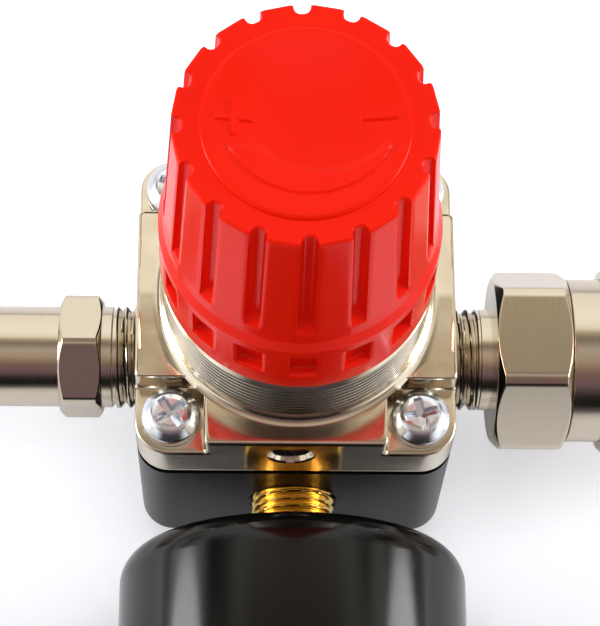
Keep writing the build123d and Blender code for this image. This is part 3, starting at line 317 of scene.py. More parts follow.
# %% Materials: nickel plate, cast and turned
def nickel_on_casting():
    """Bright metal over two bumps, a slow wave and fine pits, which also move the roughness."""
    material, tree = new_material("bright_nickel_on_die_casting")
    spot = add_node(tree, "ShaderNodeTexCoord").outputs["Object"]
    wave = add_node(tree, "ShaderNodeTexNoise", {"Scale": per_mm(6), "Detail": 2.0}, {"Vector": spot})
    pits = add_node(tree, "ShaderNodeTexNoise", {"Scale": per_mm(0.35), "Detail": 4.0,
                    "Roughness": 0.6}, {"Vector": spot})
    slow = add_node(tree, "ShaderNodeBump", {"Strength": 0.5, "Distance": 0.08 * MM},
                    {"Height": wave.outputs["Fac"]})
    fine = add_node(tree, "ShaderNodeBump", {"Strength": 0.15, "Distance": 0.02 * MM},
                    {"Height": pits.outputs["Fac"], "Normal": slow.outputs["Normal"]})
    metal = add_node(tree, "ShaderNodeValToRGB", {"stops": [(0.35, "#D6CAB4"), (0.65, "#E8DFCC")]},
                     {"Fac": wave.outputs["Fac"]})
    shine = add_node(tree, "ShaderNodeMapRange", {"To Min": 0.09, "To Max": 0.2},
                     {"Value": pits.outputs["Fac"]})
    shader = add_node(tree, "ShaderNodeBsdfPrincipled", {"Metallic": 1.0},
                      {"Base Color": metal.outputs["Color"], "Roughness": shine.outputs["Result"],
                       "Normal": fine.outputs["Normal"]})
    finish_material(tree, shader)
    return material


def nickel_on_turned_brass():
    """Bright metal over rings: a noise squeezed along x, the axis of both fittings."""
    material, tree = new_material("bright_nickel_on_turned_brass")
    spot = add_node(tree, "ShaderNodeTexCoord").outputs["Object"]
    rings = add_node(tree, "ShaderNodeMapping", {"Scale": (per_mm(0.25), per_mm(6), per_mm(6))},
                     {"Vector": spot})
    lathe = add_node(tree, "ShaderNodeTexNoise", {"Scale": 1.0, "Detail": 1.0},
                     {"Vector": rings.outputs["Vector"]})
    bump = add_node(tree, "ShaderNodeBump", {"Strength": 0.3, "Distance": 0.01 * MM},
                    {"Height": lathe.outputs["Fac"]})
    shine = add_node(tree, "ShaderNodeMapRange", {"To Min": 0.1, "To Max": 0.22},
                     {"Value": lathe.outputs["Fac"]})
    shader = add_node(tree, "ShaderNodeBsdfPrincipled", {"Metallic": 1.0,
                      "Base Color": colour("#D6CBB8")},
                      {"Roughness": shine.outputs["Result"], "Normal": bump.outputs["Normal"]})
    finish_material(tree, shader)
    return material


# %% [markdown]
# Metals and paints that differ only in colour, roughness and grain come from one
# recipe: a noise of a given size moves the roughness between two values and raises a
# small bump. Zinc plate is bluish and bright, brass is yellow, spring wire is grey, and
# the body's black paint has the slight orange peel of a sprayed coat.

# %% Materials: plain finishes
def plain_finish(name, base, low, high, grain_mm, height_mm, metallic=0.0, level=0.5):
    """Roughness runs from low to high with a noise whose cells are grain_mm wide."""
    material, tree = new_material(name)
    spot = add_node(tree, "ShaderNodeTexCoord").outputs["Object"]
    grain = add_node(tree, "ShaderNodeTexNoise", {"Scale": per_mm(grain_mm), "Detail": 3.0},
                     {"Vector": spot})
    bump = add_node(tree, "ShaderNodeBump", {"Strength": 0.4, "Distance": height_mm * MM},
                    {"Height": grain.outputs["Fac"]})
    shine = add_node(tree, "ShaderNodeMapRange", {"To Min": low, "To Max": high},
                     {"Value": grain.outputs["Fac"]})
    shader = add_node(tree, "ShaderNodeBsdfPrincipled", {"Base Color": colour(base),
                      "Metallic": metallic, "Specular IOR Level": level},
                      {"Roughness": shine.outputs["Result"], "Normal": bump.outputs["Normal"]})
    finish_material(tree, shader)
    return material


def clear_polycarbonate():
    """Moulded lens, clear all through. Polycarbonate has an index of 1.58. The lens is thin and flat, and
    1.1 keeps the bright studio's reflection from hiding the dial."""
    material, tree = new_material("clear_polycarbonate")
    spot = add_node(tree, "ShaderNodeTexCoord").outputs["Object"]
    haze = add_node(tree, "ShaderNodeTexNoise", {"Scale": per_mm(3)}, {"Vector": spot})
    shine = add_node(tree, "ShaderNodeMapRange", {"To Min": 0.01, "To Max": 0.05},
                     {"Value": haze.outputs["Fac"]})
    shader = add_node(tree, "ShaderNodeBsdfPrincipled", {"Transmission Weight": 1.0, "IOR": 1.1,
                      "Base Color": colour("#FBFDFD")}, {"Roughness": shine.outputs["Result"]})
    finish_material(tree, shader)
    return material


RED = glossy_red_abs()
CAST_NICKEL = nickel_on_casting()
NICKEL = nickel_on_turned_brass()
ZINC = plain_finish("clear_zinc_plate", "#E6ECF6", 0.16, 0.3, 0.5, 0.01, metallic=1.0)
BRASS = plain_finish("machined_brass", "#F2C76A", 0.14, 0.26, 0.4, 0.01, metallic=1.0)
STEEL = plain_finish("plated_steel", "#B9BBBE", 0.18, 0.32, 0.4, 0.01, metallic=1.0)
SPRING_WIRE = plain_finish("spring_wire", "#8F9194", 0.2, 0.34, 0.3, 0.01, metallic=1.0)
BLACK_PAINT = plain_finish("satin_black_paint", "#0C0E0F", 0.16, 0.24, 0.9, 0.004, level=0.1)
BLACK_ABS = plain_finish("satin_black_abs", "#08090A", 0.13, 0.18, 0.9, 0.002, level=0.36)
RUBBER = plain_finish("nitrile_rubber", "#161616", 0.55, 0.75, 0.4, 0.02)
ACETAL = plain_finish("white_acetal", "#DEDDD6", 0.35, 0.45, 0.6, 0.01)
ENAMEL = plain_finish("white_dial_enamel", "#F1F1EC", 0.35, 0.45, 0.8, 0.004)
DIAL_INK = plain_finish("black_dial_ink", "#131313", 0.4, 0.5, 0.3, 0.002)
RED_INK = plain_finish("red_dial_ink", "#C21912", 0.4, 0.5, 0.3, 0.002)
LENS = clear_polycarbonate()
print("materials", len(bpy.data.materials))

# %% Finish of a piece
def finish(piece, material, slot, body, *nodes):
    """Gives a piece its material, lets it ride on a body and stand for CAD nodes. The slot is not used."""
    piece.data.materials.clear()
    piece.data.materials.append(material)
    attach(piece, body)
    if nodes:
        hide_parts(*nodes)
    return piece


# %% [markdown]
# The knob is the piece that the eye goes to. Its outside is a turned profile with
# sixteen round bottomed flutes and, under each, a square pocket in the skirt. Cutting
# thirty-two holes by booleans would leave rough joins. Here the columns themselves
# follow the flute: across each sixteenth of a turn they run over a land, down one wall,
# round the bottom and up the other wall, and every row says how deep and how wide the
# cut is at its height. The rows under the top edge use full depth, so the flutes open
# through the rounded edge as they do on the moulding.

# %% Knob: cross section of one flute
FLUTES, FLUTE_PHASE = 16, np.radians(-88.35)
FLUTE_HALF, FLUTE_DEPTH, FLUTE_FOOT_DEPTH = 0.95, 1.15, 1.3
POCKET_HALF, POCKET_DEPTH = 1.575, 1.35
FLUTE_FOOT, FLUTE_FADE = 59.0, 1.1
POCKET_LOW, POCKET_HIGH, POCKET_EDGE = 48.0, 53.4, 0.3
KNOB_TOP, KNOB_CROWN_R, CROWN_ROUND = 79.4, 14.0, 0.45


def flute_columns(cut_points=19, land_points=15):
    """One period: the cut's parameter runs from -1 to 1 over its width, the land's share from 0 to 1."""
    cut = np.linspace(-1, 1, cut_points)
    land = (np.arange(land_points) + 1) / (land_points + 1)
    in_cut = np.r_[np.ones(cut_points, bool), np.zeros(land_points, bool)]
    return np.r_[cut, land], in_cut


def knob_outline(out, depth, half, square, flat):
    """Angle and distance of each column of a row. In a cut, the place across is the sine of the
    parameter and the depth its cosine, both to a power that turns a round bottom into a square one.
    A flat land is a chord: its distance is the edge's times cos(half the land) over cos(place on it)."""
    period = TAU / FLUTES
    share, in_cut = flute_columns()
    lean = np.sin(share * np.pi / 2)
    power = (1 - 0.72 * square)[:, None]
    place = np.sign(lean) * np.abs(lean) ** power
    drop = np.clip(np.cos(share * np.pi / 2), 0, 1) ** power
    edge = (half / out)[:, None]
    land_place = edge + (period - 2 * edge) * share
    offset = np.where(in_cut, place * edge, land_place)
    from_edge = np.minimum(share, 1 - share) * (period - 2 * edge) * out[:, None]
    lip = 0.09 * (1 - ease(from_edge / 0.35))
    fall = np.where(in_cut, 0.09 + 0.91 * drop, lip) * depth[:, None]
    half_land = period / 2 - edge
    chord = np.cos(half_land) / np.cos((2 * share - 1) * half_land)
    fall = fall + np.where(in_cut, 0, (1 - chord) * (out * flat)[:, None])
    first = FLUTE_PHASE + period * np.arange(FLUTES)
    angles = (first[:, None, None] + offset[None]).transpose(1, 0, 2).reshape(len(out), -1)
    return angles, out[:, None] - np.tile(fall, (1, FLUTES))


# %% [markdown]
# The top is a flat ring, a rounded step and a shallow dish. A plus, a minus and a wedge
# that thins from one to the other stand a third of a millimetre out of the dish. They
# are heights added to the rows of the dish, with sides that slope over 0.25 mm, so they
# share its surface and its gloss.

# %% Knob: marks on the dish
DISH_R, DISH_RISE, DISH_DROP = 10.45, 0.55, 1.35
MARK_HEIGHT, MARK_SLOPE = 0.32, 0.26
PLUS, MINUS = (-7.45, 0.5), (7.7, 0.75)
STROKE_HALF, STROKE_LONG = 0.38, 2.0
WEDGE_OUTER = (0.35, 1.15, 9.27)
WEDGE_INNER = (1.7, 3.7, 9.05)


def stroke(x, y, middle, half_x, half_y):
    """1 inside a box and 0 outside, with a slope along its sides."""
    reach = np.maximum(np.abs(x - middle[0]) - half_x, np.abs(y - middle[1]) - half_y)
    return 1 - ease(reach / MARK_SLOPE + 0.5)


def marks(x, y):
    """Height of the raised marks. The wedge lies inside one circle, outside another and under a line."""
    level = stroke(x, y, PLUS, STROKE_LONG, STROKE_HALF)
    upright = stroke(x, y, PLUS, STROKE_HALF, STROKE_LONG)
    minus = stroke(x, y, MINUS, STROKE_LONG, STROKE_HALF)
    outside = np.hypot(x - WEDGE_OUTER[0], y - WEDGE_OUTER[1]) - WEDGE_OUTER[2]
    inside = WEDGE_INNER[2] - np.hypot(x - WEDGE_INNER[0], y - WEDGE_INNER[1])
    cap = y + 2.45
    wedge = (1 - ease(outside / 0.32 + 0.5)) * (1 - ease(inside / 0.9 + 0.5)) * (1 - ease(cap / 0.8 + 0.5))
    return MARK_HEIGHT * np.maximum.reduce((level, upright, minus, wedge))


# %% Knob: dish, flank and bore
def knob():
    """Dish, fluted flank and bore, joined row by row. Rows stand closer where a flute or pocket ends."""
    flank = rounded([
        (79.4, 12.6, 0), (KNOB_TOP, KNOB_CROWN_R, CROWN_ROUND), (56.6, 15.44, 1.6), (55.0, 16.0, 0.3),
        (44.4, 16.1, 0.5), (44.4, 13.9, 0.3), (54.6, 13.9, 0),
    ], arc_points=9)
    extra = [np.arange(58.3, 59.7, 0.12), np.arange(47.75, 48.3, 0.07), np.arange(53.15, 53.7, 0.07)]
    heights = np.concatenate(extra + [np.linspace(61, 78, 8)])
    outer = flank[:-3]
    side = outer[(outer[:, 0] < KNOB_TOP - 0.85 * CROWN_ROUND) & (outer[:, 1] > 13.9)]
    radii = np.interp(-heights, -side[:, 0], side[:, 1])
    kept = np.concatenate((outer, np.stack((heights, radii), 1)))
    over = kept[:, 0] > KNOB_TOP - 1.2 * CROWN_ROUND
    crown = outer[outer[:, 0] > KNOB_TOP - 1.2 * CROWN_ROUND]
    kept = np.concatenate((crown, kept[~over][np.argsort(-kept[~over][:, 0])]))
    z, out = kept.T
    low_rim = z < 45.5
    flute = np.where(z > 56, ease((z - FLUTE_FOOT) / FLUTE_FADE + 0.5), 0)
    pocket = ease((z - POCKET_LOW) / POCKET_EDGE + 0.5) * ease((POCKET_HIGH - z) / POCKET_EDGE + 0.5)
    pocket = np.where(low_rim | (z > 55), 0, pocket)
    flute = flute * ease((out - 11.9) / 1.1)
    flute_deep = np.interp(z, (FLUTE_FOOT, KNOB_TOP), (FLUTE_FOOT_DEPTH, FLUTE_DEPTH))
    lower = z < 55.5
    angles, away = knob_outline(out, flute_deep * flute + POCKET_DEPTH * pocket,
                                np.where(lower, POCKET_HALF, FLUTE_HALF), np.where(lower, 1.0, 0.3),
                                ease((z - 56.8) / 1.2))
    level = np.broadcast_to(z[:, None], away.shape)
    skirt = np.stack((away * np.cos(angles), away * np.sin(angles), level), -1)
    around = angles[0]
    step = DISH_R + 0.71 * np.cos(np.linspace(0, np.pi / 2, 7))
    step_z = KNOB_TOP + DISH_RISE * np.sin(np.linspace(0, np.pi / 2, 7))
    inward = np.linspace(DISH_R, 0, 74)[1:]
    bowl = (1 - (inward / DISH_R) ** 2) * ease((DISH_R - inward) / 3 + 0.35)
    hollow_z = KNOB_TOP + DISH_RISE - DISH_DROP * bowl
    top_r, top_z = np.r_[step, inward][::-1], np.r_[step_z, hollow_z][::-1]
    x, y = top_r[:, None] * np.cos(around), top_r[:, None] * np.sin(around)
    top = np.stack((x, y, np.minimum(top_z[:, None] + marks(x, y), KNOB_TOP + DISH_RISE)), -1)
    inside = rounded([
        (44.4, 13.9, 0), (54.6, 13.9, 0.3), (54.6, 12.6, 0.3), (63.4, 12.6, 0), (63.4, 11.3, 0),
        (77.4, 11.3, 0.5), (77.4, 6.2, 0.5), (63.4, 6.2, 0), (63.4, 4.05, 0), (76.4, 4.05, 0),
        (76.4, 0, 0),
    ], arc_points=2)
    bore = turn(inside, KNOB_AXIS, around)
    return shell("red_knob", np.concatenate((top, skirt, bore)))


red_knob = finish(knob(), RED, "red_knob", "knob", "control_knob")
print("knob faces", len(red_knob.data.polygons))

# %% [markdown]
# The bonnet is the nickel plated casting between knob and body. Its four screws sit in
# corner pockets, so its plan is a square low down and a cross higher up. Both plans are
# outlines of distance against angle, and the rows go from one to the other: up the
# square wall, over the pocket floors, up the walls of the cross, over its bevelled lip,
# across the pad and up a fillet to the threaded collar. Columns are closer together
# where the cross has its corners and where the round vent sits in the front wall.

# %% Bonnet: outlines
CORNER_R, ARM_HALF, ARM_CORNER_R = 4.0, 10.8, 0.9
FLANGE_LOW, FLANGE_TOP, PAD_TOP = 24.0, 30.3, 33.85
COLLAR_R, COLLAR_TOP, COLLAR_PITCH = 15.95, 43.5, 1.0
VENT = (-0.6, 29.9, 2.8, 0.85)


def outline(corners):
    """Distance from the middle against angle, from a closed line of rounded corners."""
    line = rounded(corners, closed=True, arc_points=12)
    share = np.linspace(0, 1, 40, endpoint=False)[:, None, None]
    dense = (line[:-1] * (1 - share) + line[1:] * share).transpose(1, 0, 2).reshape(-1, 2)
    angle = np.arctan2(dense[:, 1], dense[:, 0]) % TAU
    order = np.argsort(angle)
    return angle[order], np.hypot(dense[:, 0], dense[:, 1])[order], dense


def reach(line, angles):
    """Distance of an outline in each direction."""
    return np.interp(angles % TAU, line[0], line[1], period=TAU)


def square_line(half, radius):
    """A square with rounded corners."""
    return outline([(x * half, y * half, radius) for x, y in ((1, -1), (1, 1), (-1, 1), (-1, -1))])


def cross_line(half, arm):
    """A cross with arms as long as the square: three corners, turned four times by a quarter."""
    quarter = [(half, -arm, 0.5), (half, arm, 0.5), (arm, arm, ARM_CORNER_R)]
    turns = [(1, 0, 0, 1), (0, -1, 1, 0), (-1, 0, 0, -1), (0, 1, -1, 0)]
    return outline([(a * x + b * y, c * x + d * y, r) for a, b, c, d in turns for x, y, r in quarter])


SQUARE = square_line(BODY_HALF, CORNER_R)
CROSS = cross_line(BODY_HALF, ARM_HALF)

# %% Bonnet: columns and thread
def bonnet_angles(count=420, vent_count=56):
    """Half of the columns are even in angle and half even along the cross; more stand at the vent."""
    dense = CROSS[2][np.argsort(np.arctan2(CROSS[2][:, 1], CROSS[2][:, 0]) % TAU)]
    length = np.r_[0, np.cumsum(np.hypot(*np.diff(dense, axis=0).T))]
    share = 0.35 * CROSS[0] / TAU + 0.65 * length / length[-1]
    spread = np.interp(np.linspace(0, 1, count, endpoint=False), share, CROSS[0])
    vent = 1.5 * np.pi + np.arctan((np.linspace(-3.4, 3.4, vent_count) + VENT[0]) / BODY_HALF)
    outside = (spread < vent[0] - 0.01) | (spread > vent[-1] + 0.01)
    return np.sort(np.r_[spread[outside], vent])


def thread(along, angle, pitch, depth, low, high):
    """Depth of a screw thread: a triangle wave of the distance along the axis less one pitch a turn,
    with crests and roots rounded, fading in over half a pitch at both ends."""
    phase = along / pitch - angle / TAU
    wave = np.abs(2 * (phase - np.floor(phase)) - 1)
    ends = np.clip(np.minimum(along - low, high - along) / (0.5 * pitch), 0, 1)
    return depth * ends * (0.35 * wave + 0.65 * ease(wave))


# %% Bonnet: rows of the flange
def bonnet():
    """Rows from the flange's foot to the collar's: square, shelf, cross, lip, pad and fillet."""
    angles = bonnet_angles()
    square, cross = reach(SQUARE, angles), reach(CROSS, angles)
    cos, sin = np.cos(angles), np.sin(angles)
    rows = []

    def row(out, height):
        out = np.broadcast_to(out, angles.shape)
        rows.append(np.stack((out * cos, out * sin, np.broadcast_to(height, angles.shape)), -1))

    quarter = np.linspace(0, np.pi / 2, 6)
    for lean in quarter:
        row(square - 0.3 * (1 - np.sin(lean)), FLANGE_LOW + 0.3 * (1 - np.cos(lean)))
    for height in np.linspace(24.6, 26.8, 4):
        row(square, height)
    for height in np.arange(27.0, 29.85, 0.16):
        row(square, height)
    edge = 0.4
    for lean in quarter:
        shelf = np.maximum(square - edge * (1 - np.cos(lean)), np.minimum(cross, square))
        row(np.where(cross > square - 0.05, square, shelf), FLANGE_TOP - edge * (1 - np.sin(lean)))
    foot = np.linspace(0, 1, 5)[1:]
    for share in foot:
        row(square - edge + (cross + 0.3 - square + edge) * share * (cross < square - 0.7)
            + edge * (cross >= square - 0.7), FLANGE_TOP)
    for lean in quarter[1:]:
        row(np.minimum(cross + 0.3 * (1 - np.sin(lean)), square), FLANGE_TOP + 0.3 * (1 - np.cos(lean)))
    for height in np.arange(30.75, 33.3, 0.16):
        row(cross, height)
    lip = 0.42
    for lean in quarter:
        row(cross - lip * (1 - np.cos(lean)), PAD_TOP - lip + lip * np.sin(lean))
    inner = 17.1
    for share in np.linspace(0, 1, 7)[1:]:
        out = np.maximum(cross - lip, inner) * (1 - share) + inner * share
        row(np.where(cross - lip < inner, cross - lip - (cross - lip - inner) * share, out), PAD_TOP)
    for lean in quarter[1:]:
        row(inner - 1.15 * np.sin(lean), PAD_TOP + 1.1 * (1 - np.cos(lean)))
    return angles, rows


# %% Bonnet: collar, neck and vent
def collar_and_neck(angles):
    """The collar with its fine thread, the neck over it and the spring chamber inside, turned."""
    heights = np.arange(PAD_TOP + 1.2, COLLAR_TOP - 0.5, COLLAR_PITCH / 11)
    side = np.stack((heights, np.full(len(heights), COLLAR_R)), 1)
    rest = rounded([
        (COLLAR_TOP - 0.5, COLLAR_R, 0), (COLLAR_TOP, COLLAR_R - 0.5, 0.1), (COLLAR_TOP, 12.2, 0.2),
        (52.4, 12.2, 0), (52.8, 11.8, 0), (53.2, 11.8, 0), (53.6, 12.2, 0), (61, 12.2, 0.3),
        (62, 11.2, 0.3), (62, 4.05, 0), (58, 4.05, 0), (58, 10.5, 0.3), (28.2, 10.5, 0),
        (28.2, 14.5, 0.3), (24, 14.5, 0),
    ])

    def rule(along, angle, out):
        in_thread = (out > COLLAR_R - 0.01) & (along < COLLAR_TOP - 0.5)
        cut = thread(along, angle, COLLAR_PITCH, 0.26, PAD_TOP + 0.9, COLLAR_TOP)
        return out - np.where(in_thread, cut, 0)

    return turn(np.concatenate((side, rest)), KNOB_AXIS, angles, rule)


def whole_bonnet():
    """All rows joined to a ring. The vent is a bowl pushed back from the front wall."""
    angles, rows = bonnet()
    grid = np.concatenate((np.stack(rows), collar_and_neck(angles)))
    grid = np.concatenate((grid, grid[:1]))
    x, y, z = np.moveaxis(grid, -1, 0)
    in_front = (y < -BODY_HALF + 1.2) & (np.abs(x) < 6)
    from_edge = VENT[2] - np.hypot(x - VENT[0], z - VENT[1])
    bowl = VENT[3] * ease(from_edge / 0.5)
    grid[..., 1] += np.where(in_front, bowl, 0)
    crease = 0.25 * np.clip(np.abs(y) / ARM_HALF, 0, 1)
    on_side_arm = (np.abs(z - PAD_TOP) < 0.01) & (np.abs(x) > np.abs(y))
    grid[..., 2] -= np.where(on_side_arm, crease, 0)
    return shell("nickel_bonnet", grid, crisp=np.radians(50))


nickel_bonnet = finish(whole_bonnet(), CAST_NICKEL, "nickel_bonnet", "root", "bonnet")
print("bonnet faces", len(nickel_bonnet.data.polygons))

# %% [markdown]
# Screws are small, but the eye finds them. Each pan head is a turned dome, and its cross
# recess is a depth taken off the dome's height: deepest in the middle, with two arms
# whose walls slope over about 0.2 mm. The four crosses stand at different angles, as they
# stop wherever the thread stops.

# %% Pan head screws
HEAD_R, HEAD_HIGH, SHANK_R = 3.5, 2.6, 2.0


def pan_head(origin, line, side, turned, size=1.0, length=15.5):
    """One screw: dome with a cross recess, then the shank, as a grid from pole to pole."""
    top = np.cross(line, side)
    dome = rounded([(HEAD_HIGH, 0, 0), (HEAD_HIGH, 2.35, 1.6), (1.35, 3.5, 0.5), (0.1, HEAD_R, 0.1),
                    (0, 3.3, 0), (0, SHANK_R, 0), (-length / size, SHANK_R, 0), (-length / size, 0, 0)])
    dome = finer(dome, 0.07, low=HEAD_HIGH - 0.55)

    def height(along, angle, out):
        x, y = out * np.cos(angle - turned), out * np.sin(angle - turned)
        far, near = np.maximum(np.abs(x), np.abs(y)), np.minimum(np.abs(x), np.abs(y))
        arm = (1 - ease((near - 0.42) / 0.16 + 0.5)) * (1 - ease((far - 1.95) / 0.2 + 0.5))
        depth = np.clip(1.35 - 0.35 * far, 0.3, 1.3)
        return along - np.where(along > HEAD_HIGH - 0.6, arm * depth, 0)

    angles = circle(120)
    grid = turn(dome * size, (origin, line, side, top), angles)
    along = np.broadcast_to(dome[:, :1], grid.shape[:2])
    out = np.broadcast_to(dome[:, 1:], grid.shape[:2])
    sunk = height(along, np.broadcast_to(angles, along.shape), out) - along
    return grid + (sunk * size)[..., None] * line


SCREW_PLACES = [(-14.85, -14.85, 0.62), (14.85, -14.85, 0.25), (-14.85, 14.85, 1.2), (14.85, 14.85, 0.9)]
screws = [pan_head(np.array((x, y, 30.36)), UP, EAST, turned) for x, y, turned in SCREW_PLACES]
pan_screws = finish(shell("zinc_pan_screws", *screws), ZINC, "zinc_screw", "root", "bonnet_screws")
print("screw faces", len(pan_screws.data.polygons))

# %% [markdown]
# The body is a plain black block with rounded corners. Its rows are the bonnet's square
# outline again, so the seam between the two lines up all the way round. The first rows
# are the round chambers up the middle, where the valve stands and its spring works, and
# the last row meets the first, so the block is a ring. The four ports and the passages
# are drilled by boolean cuts, because a hole across a wall doesn't follow rows and
# columns.

# %% Black body
FOOT_BEVEL, CAP_R, CAP_DEPTH, PORT_R, STEM_R = 0.8, 8.5, 5.2, 6.58, 5.14
CHAMBERS = [
    (CAP_DEPTH, 6.0), (11.5, 6.0), (11.5, 3.2), (13.6, 3.2), (13.6, 6.5), (20.5, 6.5), (20.5, 10.0),
    (22.5, 10.0),
]


def drill(piece, *holes):
    """Cuts turned holes: each is an axis and a profile. The result becomes the piece's own mesh."""
    for axis, profile in holes:
        cutter = shell("drill", turn(np.array(profile, float), axis, circle(96)))
        cut = piece.modifiers.new("hole", "BOOLEAN")
        cut.operation, cut.solver, cut.object = "DIFFERENCE", "EXACT", cutter
        graph = bpy.context.evaluated_depsgraph_get()
        drilled = bpy.data.meshes.new_from_object(piece.evaluated_get(graph))
        weld(drilled)
        piece.modifiers.clear()
        piece.data = drilled
        bpy.data.objects.remove(cutter)
    piece.data.shade_smooth()
    piece.data.set_sharp_from_angle(angle=np.radians(30))
    return piece


def body_block():
    """Rows at a height: round ones have a radius, square ones the outline less an inset."""
    angles = bonnet_angles(320, 8)
    square = reach(SQUARE, angles)
    rows = [(z, r, 0) for z, r in CHAMBERS] + [(22.5, 16.2, 0), (24, 16.25, 0), (24, 0, -0.25)]
    rows += [(24 - 0.25 * (1 - np.cos(a)), 0, -0.25 * (1 - np.sin(a))) for a in np.linspace(0, np.pi / 2, 5)]
    rows += [(z, 0, -1e-4) for z in np.linspace(23, 1.4, 10)]
    rows += [(FOOT_BEVEL * (1 - np.sin(a)), 0, -FOOT_BEVEL * (1 - np.cos(a)) - 1e-4)
             for a in np.linspace(0, np.pi / 2, 6)]
    rows += [(0, CAP_R + 0.4, 0), (0.4, CAP_R + 0.03, 0), (CAP_DEPTH, CAP_R + 0.03, 0), (*CHAMBERS[0], 0)]
    grid = []
    for z, round_r, inset in rows:
        out = square + inset if inset else np.full(len(angles), float(round_r))
        grid.append(np.stack((out * np.cos(angles), out * np.sin(angles), np.full(len(angles), z)), -1))
    return shell("black_body", np.stack(grid), crisp=np.radians(30))


def port_hole(radius, depth):
    """Profile of a port with a countersink at its mouth."""
    inside, mouth = BODY_HALF - depth, BODY_HALF
    return [(inside, 0), (inside, radius), (mouth - 0.5, radius), (mouth + 0.5, radius + 1.0),
            (mouth + 1, radius + 1.0), (mouth + 1, 0)]


WEST_AXIS = (PORT_AXIS[0], -EAST, -NORTH, UP)
REAR_AXIS = (PORT_AXIS[0], NORTH, -EAST, UP)


def passage(line, height, radius, start, end):
    """Axis and profile of a drilled way at a height, along a direction."""
    side = np.cross(UP, line)
    return (np.array((0, 0, height)), line, side, UP), [(start, 0), (start, radius), (end, radius), (end, 0)]


black_body = drill(body_block(), passage(-EAST, 8.6, 2.2, 3.0, 10.2),
                   passage(EAST, 16.3, 2.2, 3.25, 10.2), passage(NORTH, 15.4, 1.1, -12.2, 12.2),
                   (PORT_AXIS, port_hole(PORT_R, 10)), (WEST_AXIS, port_hole(PORT_R, 10)),
                   (GAUGE_AXIS, port_hole(STEM_R, 8)), (REAR_AXIS, port_hole(STEM_R, 8)))
finish(black_body, BLACK_PAINT, "black_body", "root", "body_housing")
print("body faces", len(black_body.data.polygons))

# %% [markdown]
# Nipple, adapter, stem and plug all come off a lathe, and then get flats or a thread.
# A flat side whose middle is half away lies at half divided by the cosine of the angle
# from that middle. The ends of a hexagon are turned to a cone of thirty degrees, so its
# surface is the lower of flat and cone. On a real spanner hexagon the edges between the
# flats are knocked off too, which the `cut` size does.

# %% Rules for flats, hexagons and threads
def flats(angle, half, sides, turned, cut):
    """Distance of a regular polygon, with its corners cut back by the cut size."""
    share = TAU / sides
    off = (angle - turned + share / 2) % share - share / 2
    return soft_least(half / np.cos(off), half / np.cos(share / 2) - cut, 0.1)


def shaped(hexes=(), threads=()):
    """A rule for turn: hexes as low, high, width, turn, cut; threads as low, high, radius, pitch, depth."""
    def rule(along, angle, out):
        for low, high, width, turned, cut in hexes:
            here = (along > low - 1e-6) & (along < high + 1e-6) & (out > width / 2 - 0.2)
            end = np.minimum(along - low, high - along)
            cone = width / 2 - 0.15 + end / np.tan(np.radians(30))
            out = np.where(here, soft_least(flats(angle, width / 2, 6, turned, cut), cone, 0.2), out)
        for low, high, radius, pitch, depth in threads:
            here = (along > low) & (along < high) & (np.abs(out - radius) < 0.02)
            out = np.where(here, out - thread(along, angle, pitch, depth, low, high), out)
        return out
    return rule


def lathe(name, profile, axis, spans, columns=288, hexes=(), threads=()):
    """Turned piece: spans are low, high, spacing of extra rows where a thread or hexagon needs them."""
    for low, high, spacing in spans:
        profile = finer(profile, spacing, low, high)
    profile = np.concatenate((profile, profile[:1]))
    return shell(name, turn(profile, axis, circle(columns), shaped(hexes, threads)))


# %% Inlet nipple
PIPE_R, PIPE_PITCH, PIPE_DEPTH = 6.55, 1.337, 0.72
NIPPLE_HEX = (24.2, 29.6, 14.3, np.radians(-6), 0.25)


def nipple():
    """Tube with a hexagon and a pipe thread at each end."""
    width = NIPPLE_HEX[2]
    corners = [
        (9.3, 4.2, 0), (9.3, 5.7, 0.1), (10.1, PIPE_R, 0), (22.4, PIPE_R, 0), (22.45, 6.1, 0),
        (22.9, 6.1, 0.1), (22.9, 6.46, 0.12), (24.2, 6.46, 0), (24.2, width / 2, 0),
        (29.6, width / 2, 0), (29.6, 6.4, 0.1), (41.3, 6.4, 0.15), (41.5, PIPE_R, 0), (51.7, PIPE_R, 0),
        (52.5, 5.75, 0.15), (52.5, 4.5, 0.1), (52.2, 4.2, 0),
    ]
    spans = [(10, 22.41, 0.12), (24.2, 29.61, 0.09), (41.5, 51.71, 0.12)]
    threads = [(low, high, PIPE_R, PIPE_PITCH, PIPE_DEPTH) for low, high in ((10.1, 22.4), (41.5, 51.7))]
    return lathe("nickel_nipple", rounded(corners), WEST_AXIS, spans, hexes=[NIPPLE_HEX], threads=threads)


nickel_nipple = finish(nipple(), NICKEL, "nickel_fitting", "root", "inlet_nipple")

# %% Coupler adapter
COUPLER_HEX = (25.4, 34.9, 21.0, np.radians(33.4), 0.34)


def adapter():
    """Thread, hexagon and the spigot that the coupler screws on."""
    width = COUPLER_HEX[2]
    corners = [
        (9.25, 3.9, 0), (9.25, 5.7, 0.1), (10.05, PIPE_R, 0), (23.4, PIPE_R, 0), (23.5, 6.2, 0),
        (23.75, 6.2, 0.05), (23.75, 6.48, 0.1), (25.4, 6.48, 0), (25.4, width / 2, 0),
        (34.9, width / 2, 0), (34.9, 7.52, 0), (41.1, 7.52, 0.1), (41.1, 5.6, 0), (31.2, 5.6, 0),
        (31.2, 3.9, 0),
    ]
    return lathe("nickel_adapter", rounded(corners), PORT_AXIS, [(10, 23.41, 0.12), (25.4, 34.91, 0.12)],
                 hexes=[COUPLER_HEX], threads=[(10.05, 23.4, PIPE_R, PIPE_PITCH, PIPE_DEPTH)])


nickel_adapter = finish(adapter(), NICKEL, "nickel_fitting", "root", "coupler_adapter")
print("nipple and adapter faces", len(nickel_nipple.data.polygons), len(nickel_adapter.data.polygons))

